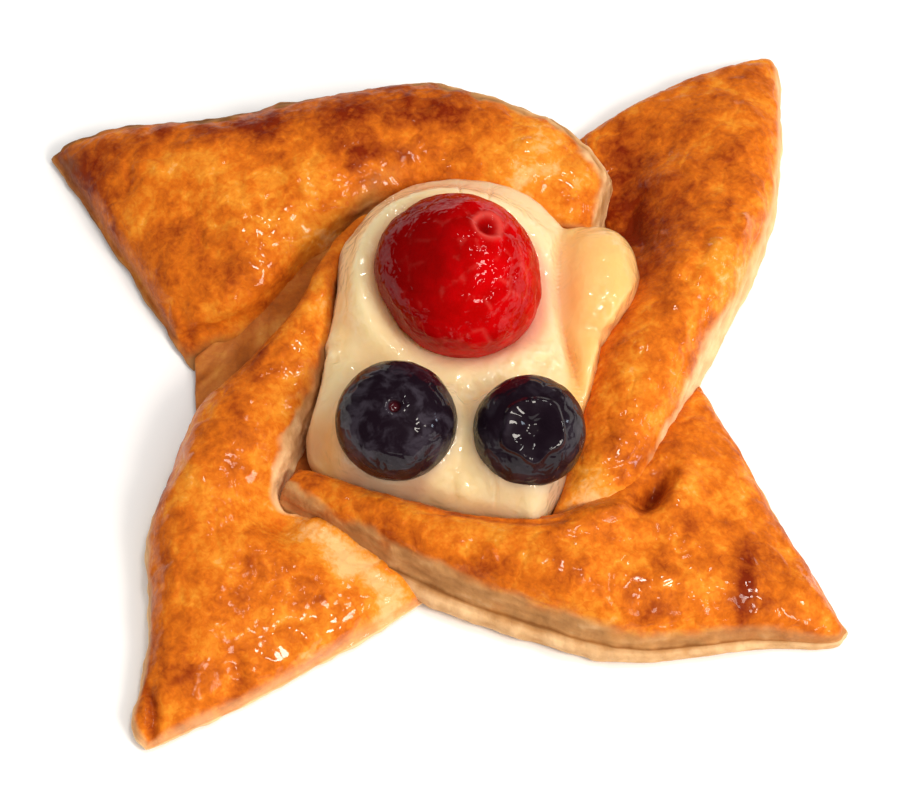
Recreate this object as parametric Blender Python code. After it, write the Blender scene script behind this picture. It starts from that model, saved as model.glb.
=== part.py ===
"""Pinwheel danish pastry with custard, one raspberry and two blueberries.

A square of laminated dough was slit from its corners towards the middle and shaped into four
arms. Each arm has a flat pointed blade, a corner of the square, that narrows into a raised band.
The four bands run clockwise round a well, and each one ends beside the root of the next arm.
Custard fills the well, and the berries are pressed into the custard.

Lengths in the tables are millimetres. +Z is up, and the underside lies flat at Z 0. The tables
are measured from a point between the berries, and build() puts the middle of the underside at
the origin.
"""

import math
from dataclasses import dataclass

import bmesh
import bpy
from mathutils import Matrix, Vector

MM = 0.001
PLAN_MIDDLE = (-0.05, 1.15, 0.0)  # the middle of the underside, in the tables' own measure

# Dough
SLAB_THICKNESS = 4.0
UNDERSIDE_DEPTH = 1.0  # how far the first arm reaches below the table before it is cut flat
UNDERSIDE_STEP = 0.4  # added for each arm that follows, so that no two undersides are coplanar
TABLE_REACH = 80.0  # half the width of the block that cuts the underside flat
TABLE_DEPTH = 8.0
EDGE_ROUNDNESS = 2.2
BLADE_EDGE = 3.6  # height of the dough along a blade's short side
BLADE_REACH = 9.0  # how far in from that side the dough has risen to full height
BOW_SHARE = 0.4  # share of an arm's length over which its short side's curve fades out
GAP = 0.3  # clearance between two pieces that touch

# Mesh fineness
RIBS = 21
RIB_SPREAD = 1.25  # above 1, the ribs lie closer together at the blade's end
TOP_POINTS = 11
CUSTARD_SPOKES = 44
BERRY_SPOKES = 24
BERRY_RINGS = 12
CURVE_STEPS = 16  # straight runs between two points that a curve is drawn through
SHARP_ANGLE = 40.0  # degrees, above which an edge is drawn sharp


@dataclass(frozen=True)
class Arm:
    """One arm of the pinwheel, as two rails that its ribs join.

    The outer rail runs from the blade's tip to the band's end, on the side away from the custard.
    The inner rail runs from the notch beside the previous arm to the band's end.
    """

    name: str
    outer: tuple
    inner: tuple
    crest: tuple  # full height of the dough at even steps from the blade's short side to the end
    outer_wall: tuple  # height of the cut side along the outer rail, at the same steps
    inner_wall: tuple  # height of the cut side along the inner rail, at the same steps
    reach: float  # how far in from the cut sides the dough has risen to full height
    bow: float  # how far the blade's short side curves outwards


ARMS = (
    Arm(
        "arm_back",
        outer=(
            (-55.4, 39.4),
            (-52.2, 42.4),
            (-44.0, 43.0),
            (-33.0, 43.4),
            (-18.0, 45.6),
            (-3.0, 48.0),
            (8.0, 45.4),
            (17.8, 41.6),
            (26.6, 31.5),
        ),
        inner=((-33.2, 0.6), (-25.8, 6.0), (-17.0, 20.6), (-4.0, 28.5), (11.5, 27.0), (25.4, 22.5)),
        crest=(6.0, 10.0, 12.5, 13.0, 10.5),
        outer_wall=(3.0, 3.5, 5.0, 5.5, 6.5),
        inner_wall=(4.0, 6.5, 8.0, 8.5, 7.5),
        reach=8.5,
        bow=0.0,
    ),
    Arm(
        "arm_right",
        outer=(
            (47.3, 56.5),
            (50.0, 54.2),
            (50.2, 40.0),
            (47.1, 23.0),
            (37.8, 2.0),
            (31.0, -11.3),
            (25.5, -22.6),
        ),
        inner=((21.8, 41.6), (24.2, 28.0), (26.8, 14.0), (22.0, 1.0), (19.8, -13.0), (16.6, -22.6)),
        crest=(6.0, 9.5, 12.5, 13.0, 10.5),
        outer_wall=(3.0, 4.5, 5.5, 6.0, 6.5),
        inner_wall=(4.0, 6.0, 8.0, 8.5, 7.5),
        reach=8.0,
        bow=0.9,
    ),
    Arm(
        "arm_front",
        outer=(
            (55.3, -37.6),
            (53.2, -39.5),
            (34.0, -40.3),
            (19.5, -40.7),
            (0.5, -34.0),
            (-12.5, -25.8),
            (-22.0, -19.6),
        ),
        inner=((37.5, 0.6), (28.0, -13.0), (19.0, -22.5), (7.0, -23.6), (-7.0, -20.2), (-19.5, -14.6)),
        crest=(6.0, 9.5, 12.5, 12.5, 10.0),
        outer_wall=(2.6, 4.5, 6.0, 6.0, 5.5),
        inner_wall=(4.0, 6.0, 8.0, 8.5, 7.0),
        reach=8.0,
        bow=-1.0,
    ),
    Arm(
        "arm_left",
        outer=(
            (-38.2, -54.2),
            (-40.1, -51.0),
            (-38.9, -44.0),
            (-39.2, -33.0),
            (-36.6, -15.0),
            (-33.2, -5.0),
            (-27.0, 1.6),
            (-20.0, 9.0),
            (-13.6, 23.6),
        ),
        inner=((-2.1, -33.0), (-11.0, -24.5), (-21.0, -20.5), (-18.0, -9.5), (-13.4, 5.0), (-8.6, 23.4)),
        crest=(6.0, 9.5, 12.5, 12.5, 10.5),
        outer_wall=(3.0, 4.0, 5.0, 5.5, 6.0),
        inner_wall=(4.0, 6.0, 8.0, 8.5, 7.0),
        reach=8.0,
        bow=1.0,
    ),
)

# The uncut middle of the square, from notch to notch and bulging under the arms
SLAB_CORNERS = (
    (21.6, 40.8),
    (34.0, 24.0),
    (36.6, 0.6),
    (24.0, -30.0),
    (-2.2, -32.2),
    (-28.0, -22.0),
    (-32.6, -2.0),
    (-23.0, 16.0),
    (-10.0, 30.0),
)

# The custard's rim in plan, clockwise from the back, with a lobe that spills to the right
CUSTARD_RIM = (
    (2.0, 28.8),
    (13.5, 26.6),
    (24.0, 21.0),
    (28.0, 13.0),
    (22.4, 0.5),
    (19.6, -14.5),
    (12.5, -24.6),
    (-3.0, -21.6),
    (-18.4, -14.4),
    (-14.2, 3.0),
    (-11.0, 18.5),
    (-7.4, 25.4),
)
CUSTARD_FLOOR = 4.4
CUSTARD_RIM_HEIGHT = 10.5
CUSTARD_CROWN = 14.5
CUSTARD_MIDDLE = (4.0, 2.0)
# Loops of the floor and wall, as (share of the rim's distance from the middle, height)
CUSTARD_WALL = ((0.48, CUSTARD_FLOOR), (0.97, CUSTARD_FLOOR), (0.985, 7.4), (1.0, CUSTARD_RIM_HEIGHT))
CUSTARD_TOP_SHARES = (0.93, 0.82, 0.64, 0.4, 0.18)
CUSTARD_SHOULDER = 0.46  # share of the way in from the rim at which the top is nearly level


@dataclass(frozen=True)
class Berry:
    """A round berry: where its middle is, how big it is, and which way its top points."""

    name: str
    centre: tuple
    width: float
    height: float
    lean: float  # degrees that the top leans from upright
    heading: float  # degrees, the direction in plan that it leans towards


RASPBERRY = Berry("raspberry", (3.4, 8.6, 18.8), 23.2, 20.6, 18.0, 16.0)
DRUPELET_ROWS = (5, 9, 12, 12, 12, 12, 10)  # drupelets in each row, from the top down
DRUPELET_HEIGHT = 1.1
DRUPELET_SIDES = 0.5  # power that sets how round a drupelet is from side to side
DRUPELET_ENDS = 0.7  # the same, from top to bottom
RASPBERRY_SPOKES = 48
RINGS_PER_ROW = 3
RASPBERRY_TAPER = 0.26  # how much narrower the berry is towards its top
TAPER_START = -0.2  # cosine of the polar angle at which it begins to narrow

BLUEBERRIES = (
    Berry("blueberry_left", (-5.2, -13.2, 16.6), 15.6, 14.2, 14.0, -95.0),
    Berry("blueberry_right", (12.7, -14.6, 16.4), 15.2, 13.6, 27.0, -80.0),
)
SCAR_FLOOR_RADIUS = 0.3
SCAR_RADIUS = 1.0
SCAR_DEPTH = 0.7
CROWN_RADIUS = 3.6
CROWN_FLOOR_SHARE = 0.35  # radius of the crown's floor, as a share of its rim's
CROWN_DEPTH = 1.3
CROWN_POINTS = 5
CROWN_WAVE = 0.22  # how far the crown's rim swings out to its points, as a share of its radius
RING_CROWDING = 0.35  # below 1, a blueberry's rings lie closer together near its top


def smooth_step(low, high, value):
    """0 below low, 1 above high, and a smooth rise between them."""
    t = min(max((value - low) / (high - low), 0.0), 1.0)
    return t * t * (3.0 - 2.0 * t)


def between(values, share):
    """The value at a share of the way along evenly spaced values."""
    place = share * (len(values) - 1)
    index = min(int(place), len(values) - 2)
    blend = smooth_step(0.0, 1.0, place - index)
    return values[index] * (1.0 - blend) + values[index + 1] * blend


def curve_through(points, shares, closed=False):
    """Points on a smooth curve through the given ones, at shares of its length."""
    knots = [Vector(p) for p in points]
    count = len(knots) if closed else len(knots) - 1
    line = []
    for span in range(count):
        if closed:
            a, b, c, d = (knots[(span + k) % len(knots)] for k in (-1, 0, 1, 2))
        else:
            b, c = knots[span], knots[span + 1]
            a = knots[span - 1] if span else b * 2 - c
            d = knots[span + 2] if span + 2 < len(knots) else c * 2 - b
        for step in range(CURVE_STEPS):
            t = step / CURVE_STEPS
            square = (2 * a - 5 * b + 4 * c - d) * t**2
            cube = (3 * b - a - 3 * c + d) * t**3
            line.append((2 * b + (c - a) * t + square + cube) / 2)
    line.append(line[0] if closed else knots[-1])
    lengths = [0.0]
    for first, second in zip(line, line[1:]):
        lengths.append(lengths[-1] + (second - first).length)
    found = []
    for share in shares:
        target = share * lengths[-1]
        index = 0
        while index < len(line) - 2 and lengths[index + 1] < target:
            index += 1
        run = max(lengths[index + 1] - lengths[index], 1e-9)
        found.append(line[index].lerp(line[index + 1], (target - lengths[index]) / run))
    return found


def rise(distance, reach):
    """Share of full height that rounded dough has reached at a distance in from its edge."""
    t = min(max(distance / reach, 0.0), 1.0)
    return (1.0 - (1.0 - t) ** EDGE_ROUNDNESS) ** (1.0 / EDGE_ROUNDNESS)


def material(name, colour, roughness):
    """A Principled material with a plain colour."""
    made = bpy.data.materials.new(name)
    made.use_nodes = True
    shader = made.node_tree.nodes["Principled BSDF"]
    shader.inputs["Base Color"].default_value = (*colour, 1.0)
    shader.inputs["Roughness"].default_value = roughness
    shader.inputs["Metallic"].default_value = 0.0
    return made


def add_object(name, mesh_builder, look, helper=False):
    """An object from a bmesh in millimetres. A helper is a shape that only joins or cuts."""
    mesh_builder.transform(Matrix.Scale(MM, 4) @ Matrix.Translation(-Vector(PLAN_MIDDLE)))
    bmesh.ops.recalc_face_normals(mesh_builder, faces=mesh_builder.faces)
    mesh = bpy.data.meshes.new(name)
    mesh_builder.to_mesh(mesh)
    mesh_builder.free()
    mesh.shade_smooth()
    mesh.set_sharp_from_angle(angle=math.radians(SHARP_ANGLE))
    mesh.materials.append(look)
    made = bpy.data.objects.new(name, mesh)
    bpy.context.scene.collection.objects.link(made)
    if helper:
        made.hide_render = True
        made.display_type = "WIRE"
    return made


def join_or_cut(target, other, operation):
    """A Boolean of another object on target."""
    modifier = target.modifiers.new(f"{operation.lower()} {other.name}", "BOOLEAN")
    modifier.operation = operation
    modifier.solver = "EXACT"
    modifier.object = other


def close_loops(loops, mesh_builder):
    """Faces between each loop of vertices and the next, each loop running all the way round."""
    for first, second in zip(loops, loops[1:]):
        for k in range(len(first)):
            after = (k + 1) % len(first)
            mesh_builder.faces.new((first[k], first[after], second[after], second[k]))


def arm_shape(arm, depth):
    """The arm as a bmesh: ribs from rail to rail, each one a closed outline of the dough."""
    mesh_builder = bmesh.new()
    shares = [(k / (RIBS - 1)) ** RIB_SPREAD for k in range(RIBS)]
    outer = curve_through(arm.outer, shares)
    inner = curve_through(arm.inner, shares)
    outward = (outer[0] - inner[0]).orthogonal().normalized()
    if outward.dot(outer[-1] - outer[0]) > 0:
        outward.negate()
    length = sum((b - a).length for a, b in zip(outer, outer[1:]))
    ribs = []
    for share, start, stop in zip(shares, outer, inner):
        width = (stop - start).length
        reach = min(arm.reach, width / 2)
        crest = between(arm.crest, share)
        walls = (between(arm.outer_wall, share), between(arm.inner_wall, share))
        from_blade = rise(share * length, BLADE_REACH)
        top, sole = [], []
        for k in range(TOP_POINTS):
            across = 0.5 - 0.5 * math.cos(math.pi * k / (TOP_POINTS - 1))
            from_sides = rise(across * width, reach) * rise((1.0 - across) * width, reach)
            wall = walls[0] + (walls[1] - walls[0]) * across
            wall = wall * from_blade + BLADE_EDGE * (1.0 - from_blade)
            height = wall + max(crest - wall, 0.0) * from_sides * from_blade
            bow = arm.bow * math.sin(math.pi * across) * (1.0 - smooth_step(0.0, BOW_SHARE, share))
            place = start.lerp(stop, across) + outward * bow
            top.append(mesh_builder.verts.new((place.x, place.y, height)))
            sole.append(mesh_builder.verts.new((place.x, place.y, -depth)))
        ribs.append([*top, *reversed(sole)])
    close_loops(ribs, mesh_builder)
    for rib in (ribs[0], ribs[-1]):
        for k in range(TOP_POINTS - 1):
            mesh_builder.faces.new((rib[k], rib[k + 1], rib[-k - 2], rib[-k - 1]))
    return mesh_builder


def prism(corners, low, high):
    """An upright prism on a polygon."""
    mesh_builder = bmesh.new()
    floor = [mesh_builder.verts.new((x, y, low)) for x, y in corners]
    face = mesh_builder.faces.new(floor)
    made = bmesh.ops.extrude_face_region(mesh_builder, geom=[face])
    raised = [v for v in made["geom"] if isinstance(v, bmesh.types.BMVert)]
    bmesh.ops.translate(mesh_builder, verts=raised, vec=(0, 0, high - low))
    return mesh_builder


def custard_shape(grow=0.0):
    """The custard as a bmesh, a crowned pool with a rim. It can be grown all over by a clearance."""
    mesh_builder = bmesh.new()
    middle = Vector(CUSTARD_MIDDLE)
    rim = curve_through(CUSTARD_RIM, [k / CUSTARD_SPOKES for k in range(CUSTARD_SPOKES)], closed=True)
    sections = []
    for share, height in CUSTARD_WALL:
        lowered = grow if height == CUSTARD_FLOOR else 0.0
        sections.append((share, height - lowered, grow))
    for share in CUSTARD_TOP_SHARES:
        crowned = rise(1.0 - share, CUSTARD_SHOULDER)
        height = CUSTARD_RIM_HEIGHT + (CUSTARD_CROWN - CUSTARD_RIM_HEIGHT) * crowned
        sections.append((share, height + grow, 0.0))
    loops = []
    for share, height, spread in sections:
        rays = [point - middle for point in rim]
        places = [middle + ray * share + ray.normalized() * spread for ray in rays]
        loops.append([mesh_builder.verts.new((*place, height)) for place in places])
    close_loops(loops, mesh_builder)
    mesh_builder.faces.new(loops[0])
    mesh_builder.faces.new(loops[-1])
    return mesh_builder


def stand(berry, mesh_builder, grow=0.0):
    """Puts a berry made about the origin, +Z its top, at its place and lean, grown by a clearance."""
    lean = Matrix.Rotation(math.radians(berry.lean), 4, "Y")
    turn = Matrix.Rotation(math.radians(berry.heading), 4, "Z")
    scale = Matrix.Scale(1.0 + 2.0 * grow / berry.height, 4)
    mesh_builder.transform(Matrix.Translation(berry.centre) @ turn @ lean @ scale)
    return mesh_builder


def berry_shell(rings, spokes, place_of):
    """A closed shell from pole to pole. place_of gives the point at a polar angle and a bearing."""
    mesh_builder = bmesh.new()
    loops = []
    for ring in range(1, rings):
        polar = math.pi * ring / rings
        bearings = [math.tau * k / spokes for k in range(spokes)]
        loops.append([mesh_builder.verts.new(place_of(polar, bearing)) for bearing in bearings])
    close_loops(loops, mesh_builder)
    for polar, loop in ((0.0, loops[0]), (math.pi, loops[-1])):
        pole = mesh_builder.verts.new(place_of(polar, 0.0))
        for k in range(spokes):
            mesh_builder.faces.new((pole, loop[k], loop[(k + 1) % spokes]))
    return mesh_builder


def raspberry_shape(grow=0.0):
    """A tapered berry with rows of drupelets, each row set between those of the row below."""

    def place(polar, bearing):
        upward = math.cos(polar)
        row, within = divmod(polar / math.pi * len(DRUPELET_ROWS), 1.0)
        count = DRUPELET_ROWS[min(int(row), len(DRUPELET_ROWS) - 1)]
        domes = 0.5 + 0.5 * math.cos(count * bearing + math.pi * (row % 2))
        bump = DRUPELET_HEIGHT * domes**DRUPELET_SIDES * math.sin(math.pi * within) ** DRUPELET_ENDS
        taper = 1.0 - RASPBERRY_TAPER * smooth_step(TAPER_START, 1.0, upward)
        radius = (RASPBERRY.width / 2 - DRUPELET_HEIGHT) * math.sin(polar) * taper + bump * math.sin(polar)
        height = (RASPBERRY.height / 2 - DRUPELET_HEIGHT) * upward + bump * upward
        return (radius * math.cos(bearing), radius * math.sin(bearing), height)

    rings = RINGS_PER_ROW * len(DRUPELET_ROWS)
    shell = berry_shell(rings, RASPBERRY_SPOKES, place)
    return stand(RASPBERRY, shell, grow)


def blueberry_shape(berry, crowned, grow=0.0):
    """A slightly flattened berry, with a stem scar or a five-pointed crown at its top."""

    def place(polar, bearing):
        polar = polar * (RING_CROWDING + (1.0 - RING_CROWDING) * polar / math.pi)
        radius = berry.width / 2 * math.sin(polar)
        height = berry.height / 2 * math.cos(polar)
        if crowned:
            edge = CROWN_RADIUS * (1.0 + CROWN_WAVE * math.cos(CROWN_POINTS * bearing))
            height -= CROWN_DEPTH * (1.0 - smooth_step(CROWN_FLOOR_SHARE * edge, edge, radius))
        else:
            height -= SCAR_DEPTH * (1.0 - smooth_step(SCAR_FLOOR_RADIUS, SCAR_RADIUS, radius))
        return (radius * math.cos(bearing), radius * math.sin(bearing), height)

    return stand(berry, berry_shell(BERRY_RINGS, BERRY_SPOKES, place), grow)


def build():
    """The whole pastry: the dough in one piece, the custard, and the three berries."""
    for old in list(bpy.data.objects):
        bpy.data.objects.remove(old, do_unlink=True)

    crust = material("baked dough", (0.72, 0.27, 0.055), 0.38)
    cream = material("custard", (0.92, 0.70, 0.36), 0.3)
    red = material("raspberry skin", (0.42, 0.006, 0.012), 0.25)
    blue = material("blueberry skin", (0.022, 0.016, 0.032), 0.3)

    depths = [UNDERSIDE_DEPTH + UNDERSIDE_STEP * k for k in range(len(ARMS) + 1)]
    pastry = add_object("pastry", arm_shape(ARMS[0], depths[0]), crust)
    for arm, depth in zip(ARMS[1:], depths[1:]):
        join_or_cut(pastry, add_object(arm.name, arm_shape(arm, depth), crust, helper=True), "UNION")
    slab = add_object("slab", prism(SLAB_CORNERS, -depths[-1], SLAB_THICKNESS), crust, helper=True)
    join_or_cut(pastry, slab, "UNION")
    reach = TABLE_REACH
    table = prism(((-reach, -reach), (reach, -reach), (reach, reach), (-reach, reach)), -TABLE_DEPTH, 0.0)
    join_or_cut(pastry, add_object("table cutter", table, crust, helper=True), "DIFFERENCE")

    custard = add_object("custard", custard_shape(), cream)
    well = add_object("well cutter", custard_shape(GAP), cream, helper=True)
    join_or_cut(pastry, well, "DIFFERENCE")

    add_object("raspberry", raspberry_shape(), red)
    cutters = [add_object("raspberry cutter", raspberry_shape(GAP), red, helper=True)]
    for berry, crowned in zip(BLUEBERRIES, (False, True)):
        add_object(berry.name, blueberry_shape(berry, crowned), blue)
        cutter = blueberry_shape(berry, crowned, GAP)
        cutters.append(add_object(f"{berry.name} cutter", cutter, blue, helper=True))
    for cutter in cutters:
        join_or_cut(custard, cutter, "DIFFERENCE")
        join_or_cut(pastry, cutter, "DIFFERENCE")


build()
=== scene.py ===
"""Looks of the pinwheel danish: baked dough, custard and glazed berries.

Tables are in millimetres, measured in plan from a point between the berries, as the part's own
tables are. Everything is moved to the part's origin and to metres when its mesh is finished.
"""

import logging
import math
from dataclasses import dataclass
from enum import Enum
from itertools import product

import bpy
import numpy as np
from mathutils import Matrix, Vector


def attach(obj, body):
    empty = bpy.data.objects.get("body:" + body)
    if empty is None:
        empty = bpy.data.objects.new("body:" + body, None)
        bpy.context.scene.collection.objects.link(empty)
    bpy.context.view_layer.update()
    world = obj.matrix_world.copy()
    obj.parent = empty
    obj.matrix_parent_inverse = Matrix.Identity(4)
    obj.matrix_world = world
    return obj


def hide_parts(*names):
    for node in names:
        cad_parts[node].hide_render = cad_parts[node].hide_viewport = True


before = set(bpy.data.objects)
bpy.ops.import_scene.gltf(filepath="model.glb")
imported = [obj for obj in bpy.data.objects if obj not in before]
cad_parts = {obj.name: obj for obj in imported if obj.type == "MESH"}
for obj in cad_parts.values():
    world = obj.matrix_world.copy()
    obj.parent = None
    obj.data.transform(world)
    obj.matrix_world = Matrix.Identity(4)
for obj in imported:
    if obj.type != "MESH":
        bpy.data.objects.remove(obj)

LOG = logging.getLogger("danish")
MM = 0.001
PLAN_MIDDLE = np.array([-0.05, 1.15])  # middle of the underside, in the tables' own measure
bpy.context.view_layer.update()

Plan = tuple[float, float]
Colour = tuple[float, float, float]


class Slot(Enum):
    """Material slots of the record."""

    CRUST = "crust"
    CUSTARD = "custard"
    RASPBERRY = "raspberry_skin"
    BLUEBERRY = "blueberry_skin"


class Top(Enum):
    """What a blueberry shows at its top."""

    SCAR = "scar"
    CROWN = "crown"


# ---------------------------------------------------------------- numbers


def smooth_step(low: float, high: float, value: np.ndarray) -> np.ndarray:
    """A smooth rise from 0 to 1.

    Args:
        low: value at which the rise starts.
        high: value at which it ends.
        value: where it is wanted.

    Returns:
        The rise at each value.
    """
    t = np.clip((value - low) / (high - low), 0.0, 1.0)
    return t * t * (3.0 - 2.0 * t)


def between(values: tuple[float, ...], share: np.ndarray) -> np.ndarray:
    """Blends smoothly along evenly spaced values.

    Args:
        values: the values, from share 0 to share 1.
        share: where the blend is wanted.

    Returns:
        The blended value at each share.
    """
    steps = len(values) - 1
    place = np.clip(share, 0.0, 1.0) * steps
    index = np.minimum(place.astype(int), steps - 1)
    blend = smooth_step(0.0, 1.0, place - index)
    table = np.array(values)
    return table[index] * (1.0 - blend) + table[index + 1] * blend


def curve_through(points: tuple[Plan, ...], shares: np.ndarray, closed: bool = False) -> np.ndarray:
    """Reads a smooth curve through plan points.

    Args:
        points: the points it passes through.
        shares: shares of its length at which it is read.
        closed: whether it runs back to its first point.

    Returns:
        One plan point for each share.
    """
    knots = np.array(points, dtype=float)
    if closed:
        knots = np.vstack([knots[-1], knots, knots[0], knots[1]])
    else:
        knots = np.vstack([2 * knots[0] - knots[1], knots, 2 * knots[-1] - knots[-2]])
    t = np.linspace(0.0, 1.0, 16, endpoint=False)[:, None]
    line = []
    for a, b, c, d in zip(knots, knots[1:], knots[2:], knots[3:]):
        square = (2 * a - 5 * b + 4 * c - d) * t**2
        cube = (3 * b - a - 3 * c + d) * t**3
        line.append((2 * b + (c - a) * t + square + cube) / 2)
    line = np.vstack([*line, knots[-2]])
    lengths = np.concatenate([[0.0], np.cumsum(np.linalg.norm(np.diff(line, axis=0), axis=1))])
    target = np.clip(shares, 0.0, 1.0) * lengths[-1]
    return np.stack([np.interp(target, lengths, line[:, k]) for k in range(2)], axis=-1)


def rise(distance: np.ndarray, reach: np.ndarray | float, roundness: float = 2.2) -> np.ndarray:
    """Share of full height that rounded dough has reached.

    Args:
        distance: how far in from its edge.
        reach: distance at which it has risen fully.
        roundness: power that sets how full the shoulder is.

    Returns:
        The share at each distance.
    """
    t = np.clip(distance / reach, 0.0, 1.0)
    return (1.0 - (1.0 - t) ** roundness) ** (1.0 / roundness)


class Grain:
    """Smooth seeded noise over space."""

    def __init__(self, seed: int) -> None:
        """Draws the lattice.

        Args:
            seed: number that fixes the noise.
        """
        rng = np.random.default_rng(seed)
        self.order = rng.permutation(256)
        slopes = rng.normal(size=(256, 3))
        self.slopes = slopes / np.linalg.norm(slopes, axis=1)[:, None]

    def at(self, points: np.ndarray, size: float | tuple[float, float, float]) -> np.ndarray:
        """Reads the noise.

        Args:
            points: places, one row each.
            size: size of one swell, in the same unit.

        Returns:
            Values of about -1 to 1.
        """
        q = (points / np.asarray(size)).T
        cell = np.floor(q).astype(int)
        inside = q - cell
        ease = inside**3 * (inside * (inside * 6 - 15) + 10)
        total = np.zeros(len(points))
        for i, j, k in product((0, 1), repeat=3):
            pick = self.order[(cell[0] + i) & 255]
            pick = self.order[(pick + cell[1] + j) & 255]
            pick = self.order[(pick + cell[2] + k) & 255]
            weight = (ease[0] if i else 1 - ease[0]) * (ease[1] if j else 1 - ease[1]) * (ease[2] if k else 1 - ease[2])
            slope = self.slopes[pick].T
            total += weight * (slope[0] * (inside[0] - i) + slope[1] * (inside[1] - j) + slope[2] * (inside[2] - k))
        return total * 1.6

    def layered(self, points: np.ndarray, size: float, octaves: int, fade: float = 0.5) -> np.ndarray:
        """Adds finer and fainter noise on top of the first.

        Args:
            points: places, one row each.
            size: size of the largest swell.
            octaves: how many layers.
            fade: strength of each layer against the one before.

        Returns:
            Values of about -1 to 1.
        """
        total = np.zeros(len(points))
        for layer in range(octaves):
            total += self.at(points + 31.7 * layer, size / 2**layer) * fade**layer
        return total


@dataclass(frozen=True)
class Dab:
    """A soft oval patch in plan, pressed into a shape or brushed on as colour."""

    place: Plan
    size: Plan
    amount: float
    angle: float = 0.0

    def on(self, points: np.ndarray) -> np.ndarray:
        """Strength of the dab.

        Args:
            points: places, of which the first two columns are used.

        Returns:
            The amount at each place, fading to 0 around the patch.
        """
        turn = math.radians(self.angle)
        dx, dy = points[:, 0] - self.place[0], points[:, 1] - self.place[1]
        along = (dx * math.cos(turn) + dy * math.sin(turn)) / self.size[0]
        across = (dy * math.cos(turn) - dx * math.sin(turn)) / self.size[1]
        return self.amount * np.exp(-(along**2 + across**2))


@dataclass(frozen=True)
class Crease:
    """A soft groove along a line in plan, or a ridge where its depth is negative. Its tint paints shade in the groove,
    or light on a ridge where the tint is negative.
    """

    line: tuple[Plan, ...]
    width: float
    depth: float
    shade_and_browning_tint: float = 0.0

    def on(self, points: np.ndarray) -> np.ndarray:
        """Strength of the groove.

        Args:
            points: places, of which the first two columns are used.

        Returns:
            The share of its full depth at each place.
        """
        shares = np.linspace(0.0, 1.0, 48)
        path = curve_through(self.line, shares)
        gap = np.full(len(points), np.inf)
        share = np.zeros(len(points))
        for spot, at in zip(path, shares):
            distance = np.hypot(points[:, 0] - spot[0], points[:, 1] - spot[1])
            share = np.where(distance < gap, at, share)
            gap = np.minimum(gap, distance)
        return np.exp(-((gap / self.width) ** 2)) * smooth_step(0.0, 0.25, share) * smooth_step(1.0, 0.75, share)


def sum_of(dabs: tuple[Dab, ...], points: np.ndarray) -> np.ndarray:
    """Adds up dabs.

    Args:
        dabs: the patches.
        points: places, one row each.

    Returns:
        Their total at each place.
    """
    return sum((dab.on(points) for dab in dabs), np.zeros(len(points)))


# ---------------------------------------------------------------- meshes


def clear_selection() -> None:
    """Leaves object mode with nothing selected."""
    if bpy.context.object and bpy.context.object.mode != "OBJECT":
        bpy.ops.object.mode_set(mode="OBJECT")
    bpy.ops.object.select_all(action="DESELECT")


def read_places(piece: bpy.types.Object) -> np.ndarray:
    """Reads a mesh's points.

    Args:
        piece: the object.

    Returns:
        One row for each vertex.
    """
    flat = np.empty(len(piece.data.vertices) * 3, dtype=np.float32)
    piece.data.vertices.foreach_get("co", flat)
    return flat.reshape(-1, 3).astype(float)


def write_places(piece: bpy.types.Object, places: np.ndarray) -> None:
    """Moves a mesh's points.

    Args:
        piece: the object.
        places: one row for each vertex.
    """
    piece.data.vertices.foreach_set("co", places.astype(np.float32).ravel())
    piece.data.update()


def read_normals(piece: bpy.types.Object) -> np.ndarray:
    """Reads a mesh's outward directions.

    Args:
        piece: the object.

    Returns:
        One unit row for each vertex.
    """
    flat = np.empty(len(piece.data.vertices) * 3, dtype=np.float32)
    piece.data.vertex_normals.foreach_get("vector", flat)
    return flat.reshape(-1, 3).astype(float)


def write_value(piece: bpy.types.Object, name: str, values: np.ndarray) -> None:
    """Stores a number on each vertex for a material or a later step.

    Args:
        piece: the object.
        name: name of the attribute.
        values: one number for each vertex.
    """
    layer = piece.data.attributes.get(name) or piece.data.attributes.new(name, "FLOAT", "POINT")
    layer.data.foreach_set("value", values.astype(np.float32))


def read_value(piece: bpy.types.Object, name: str) -> np.ndarray:
    """Reads a number stored on each vertex.

    Args:
        piece: the object.
        name: name of the attribute.

    Returns:
        One number for each vertex.
    """
    flat = np.empty(len(piece.data.vertices), dtype=np.float32)
    piece.data.attributes[name].data.foreach_get("value", flat)
    return flat.astype(float)


def grid_block(name: str, along: int, across: int, courses: int) -> bpy.types.Object:
    """Models a block whose top is a grid, as the cage of a shape with a top, sides and a sole.

    Args:
        name: name of the piece.
        along: faces along X.
        across: faces along Y.
        courses: faces down each side.

    Returns:
        The block, from -1 to 1 in plan and from -1 to 0 in height.
    """
    clear_selection()
    bpy.ops.mesh.primitive_grid_add(x_subdivisions=along, y_subdivisions=across, size=2.0)
    piece = bpy.context.object
    piece.name = piece.data.name = name
    bpy.ops.object.mode_set(mode="EDIT")
    bpy.ops.mesh.select_mode(type="EDGE")
    bpy.ops.mesh.select_all(action="SELECT")
    bpy.ops.mesh.region_to_loop()
    for _ in range(courses):
        bpy.ops.mesh.extrude_edges_move(TRANSFORM_OT_translate={"value": (0.0, 0.0, -1.0 / courses)})
    bpy.ops.mesh.edge_face_add()
    bpy.ops.mesh.select_mode(type="VERT")
    bpy.ops.mesh.select_all(action="SELECT")
    bpy.ops.mesh.normals_make_consistent(inside=False)
    bpy.ops.object.mode_set(mode="OBJECT")
    return piece


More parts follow.
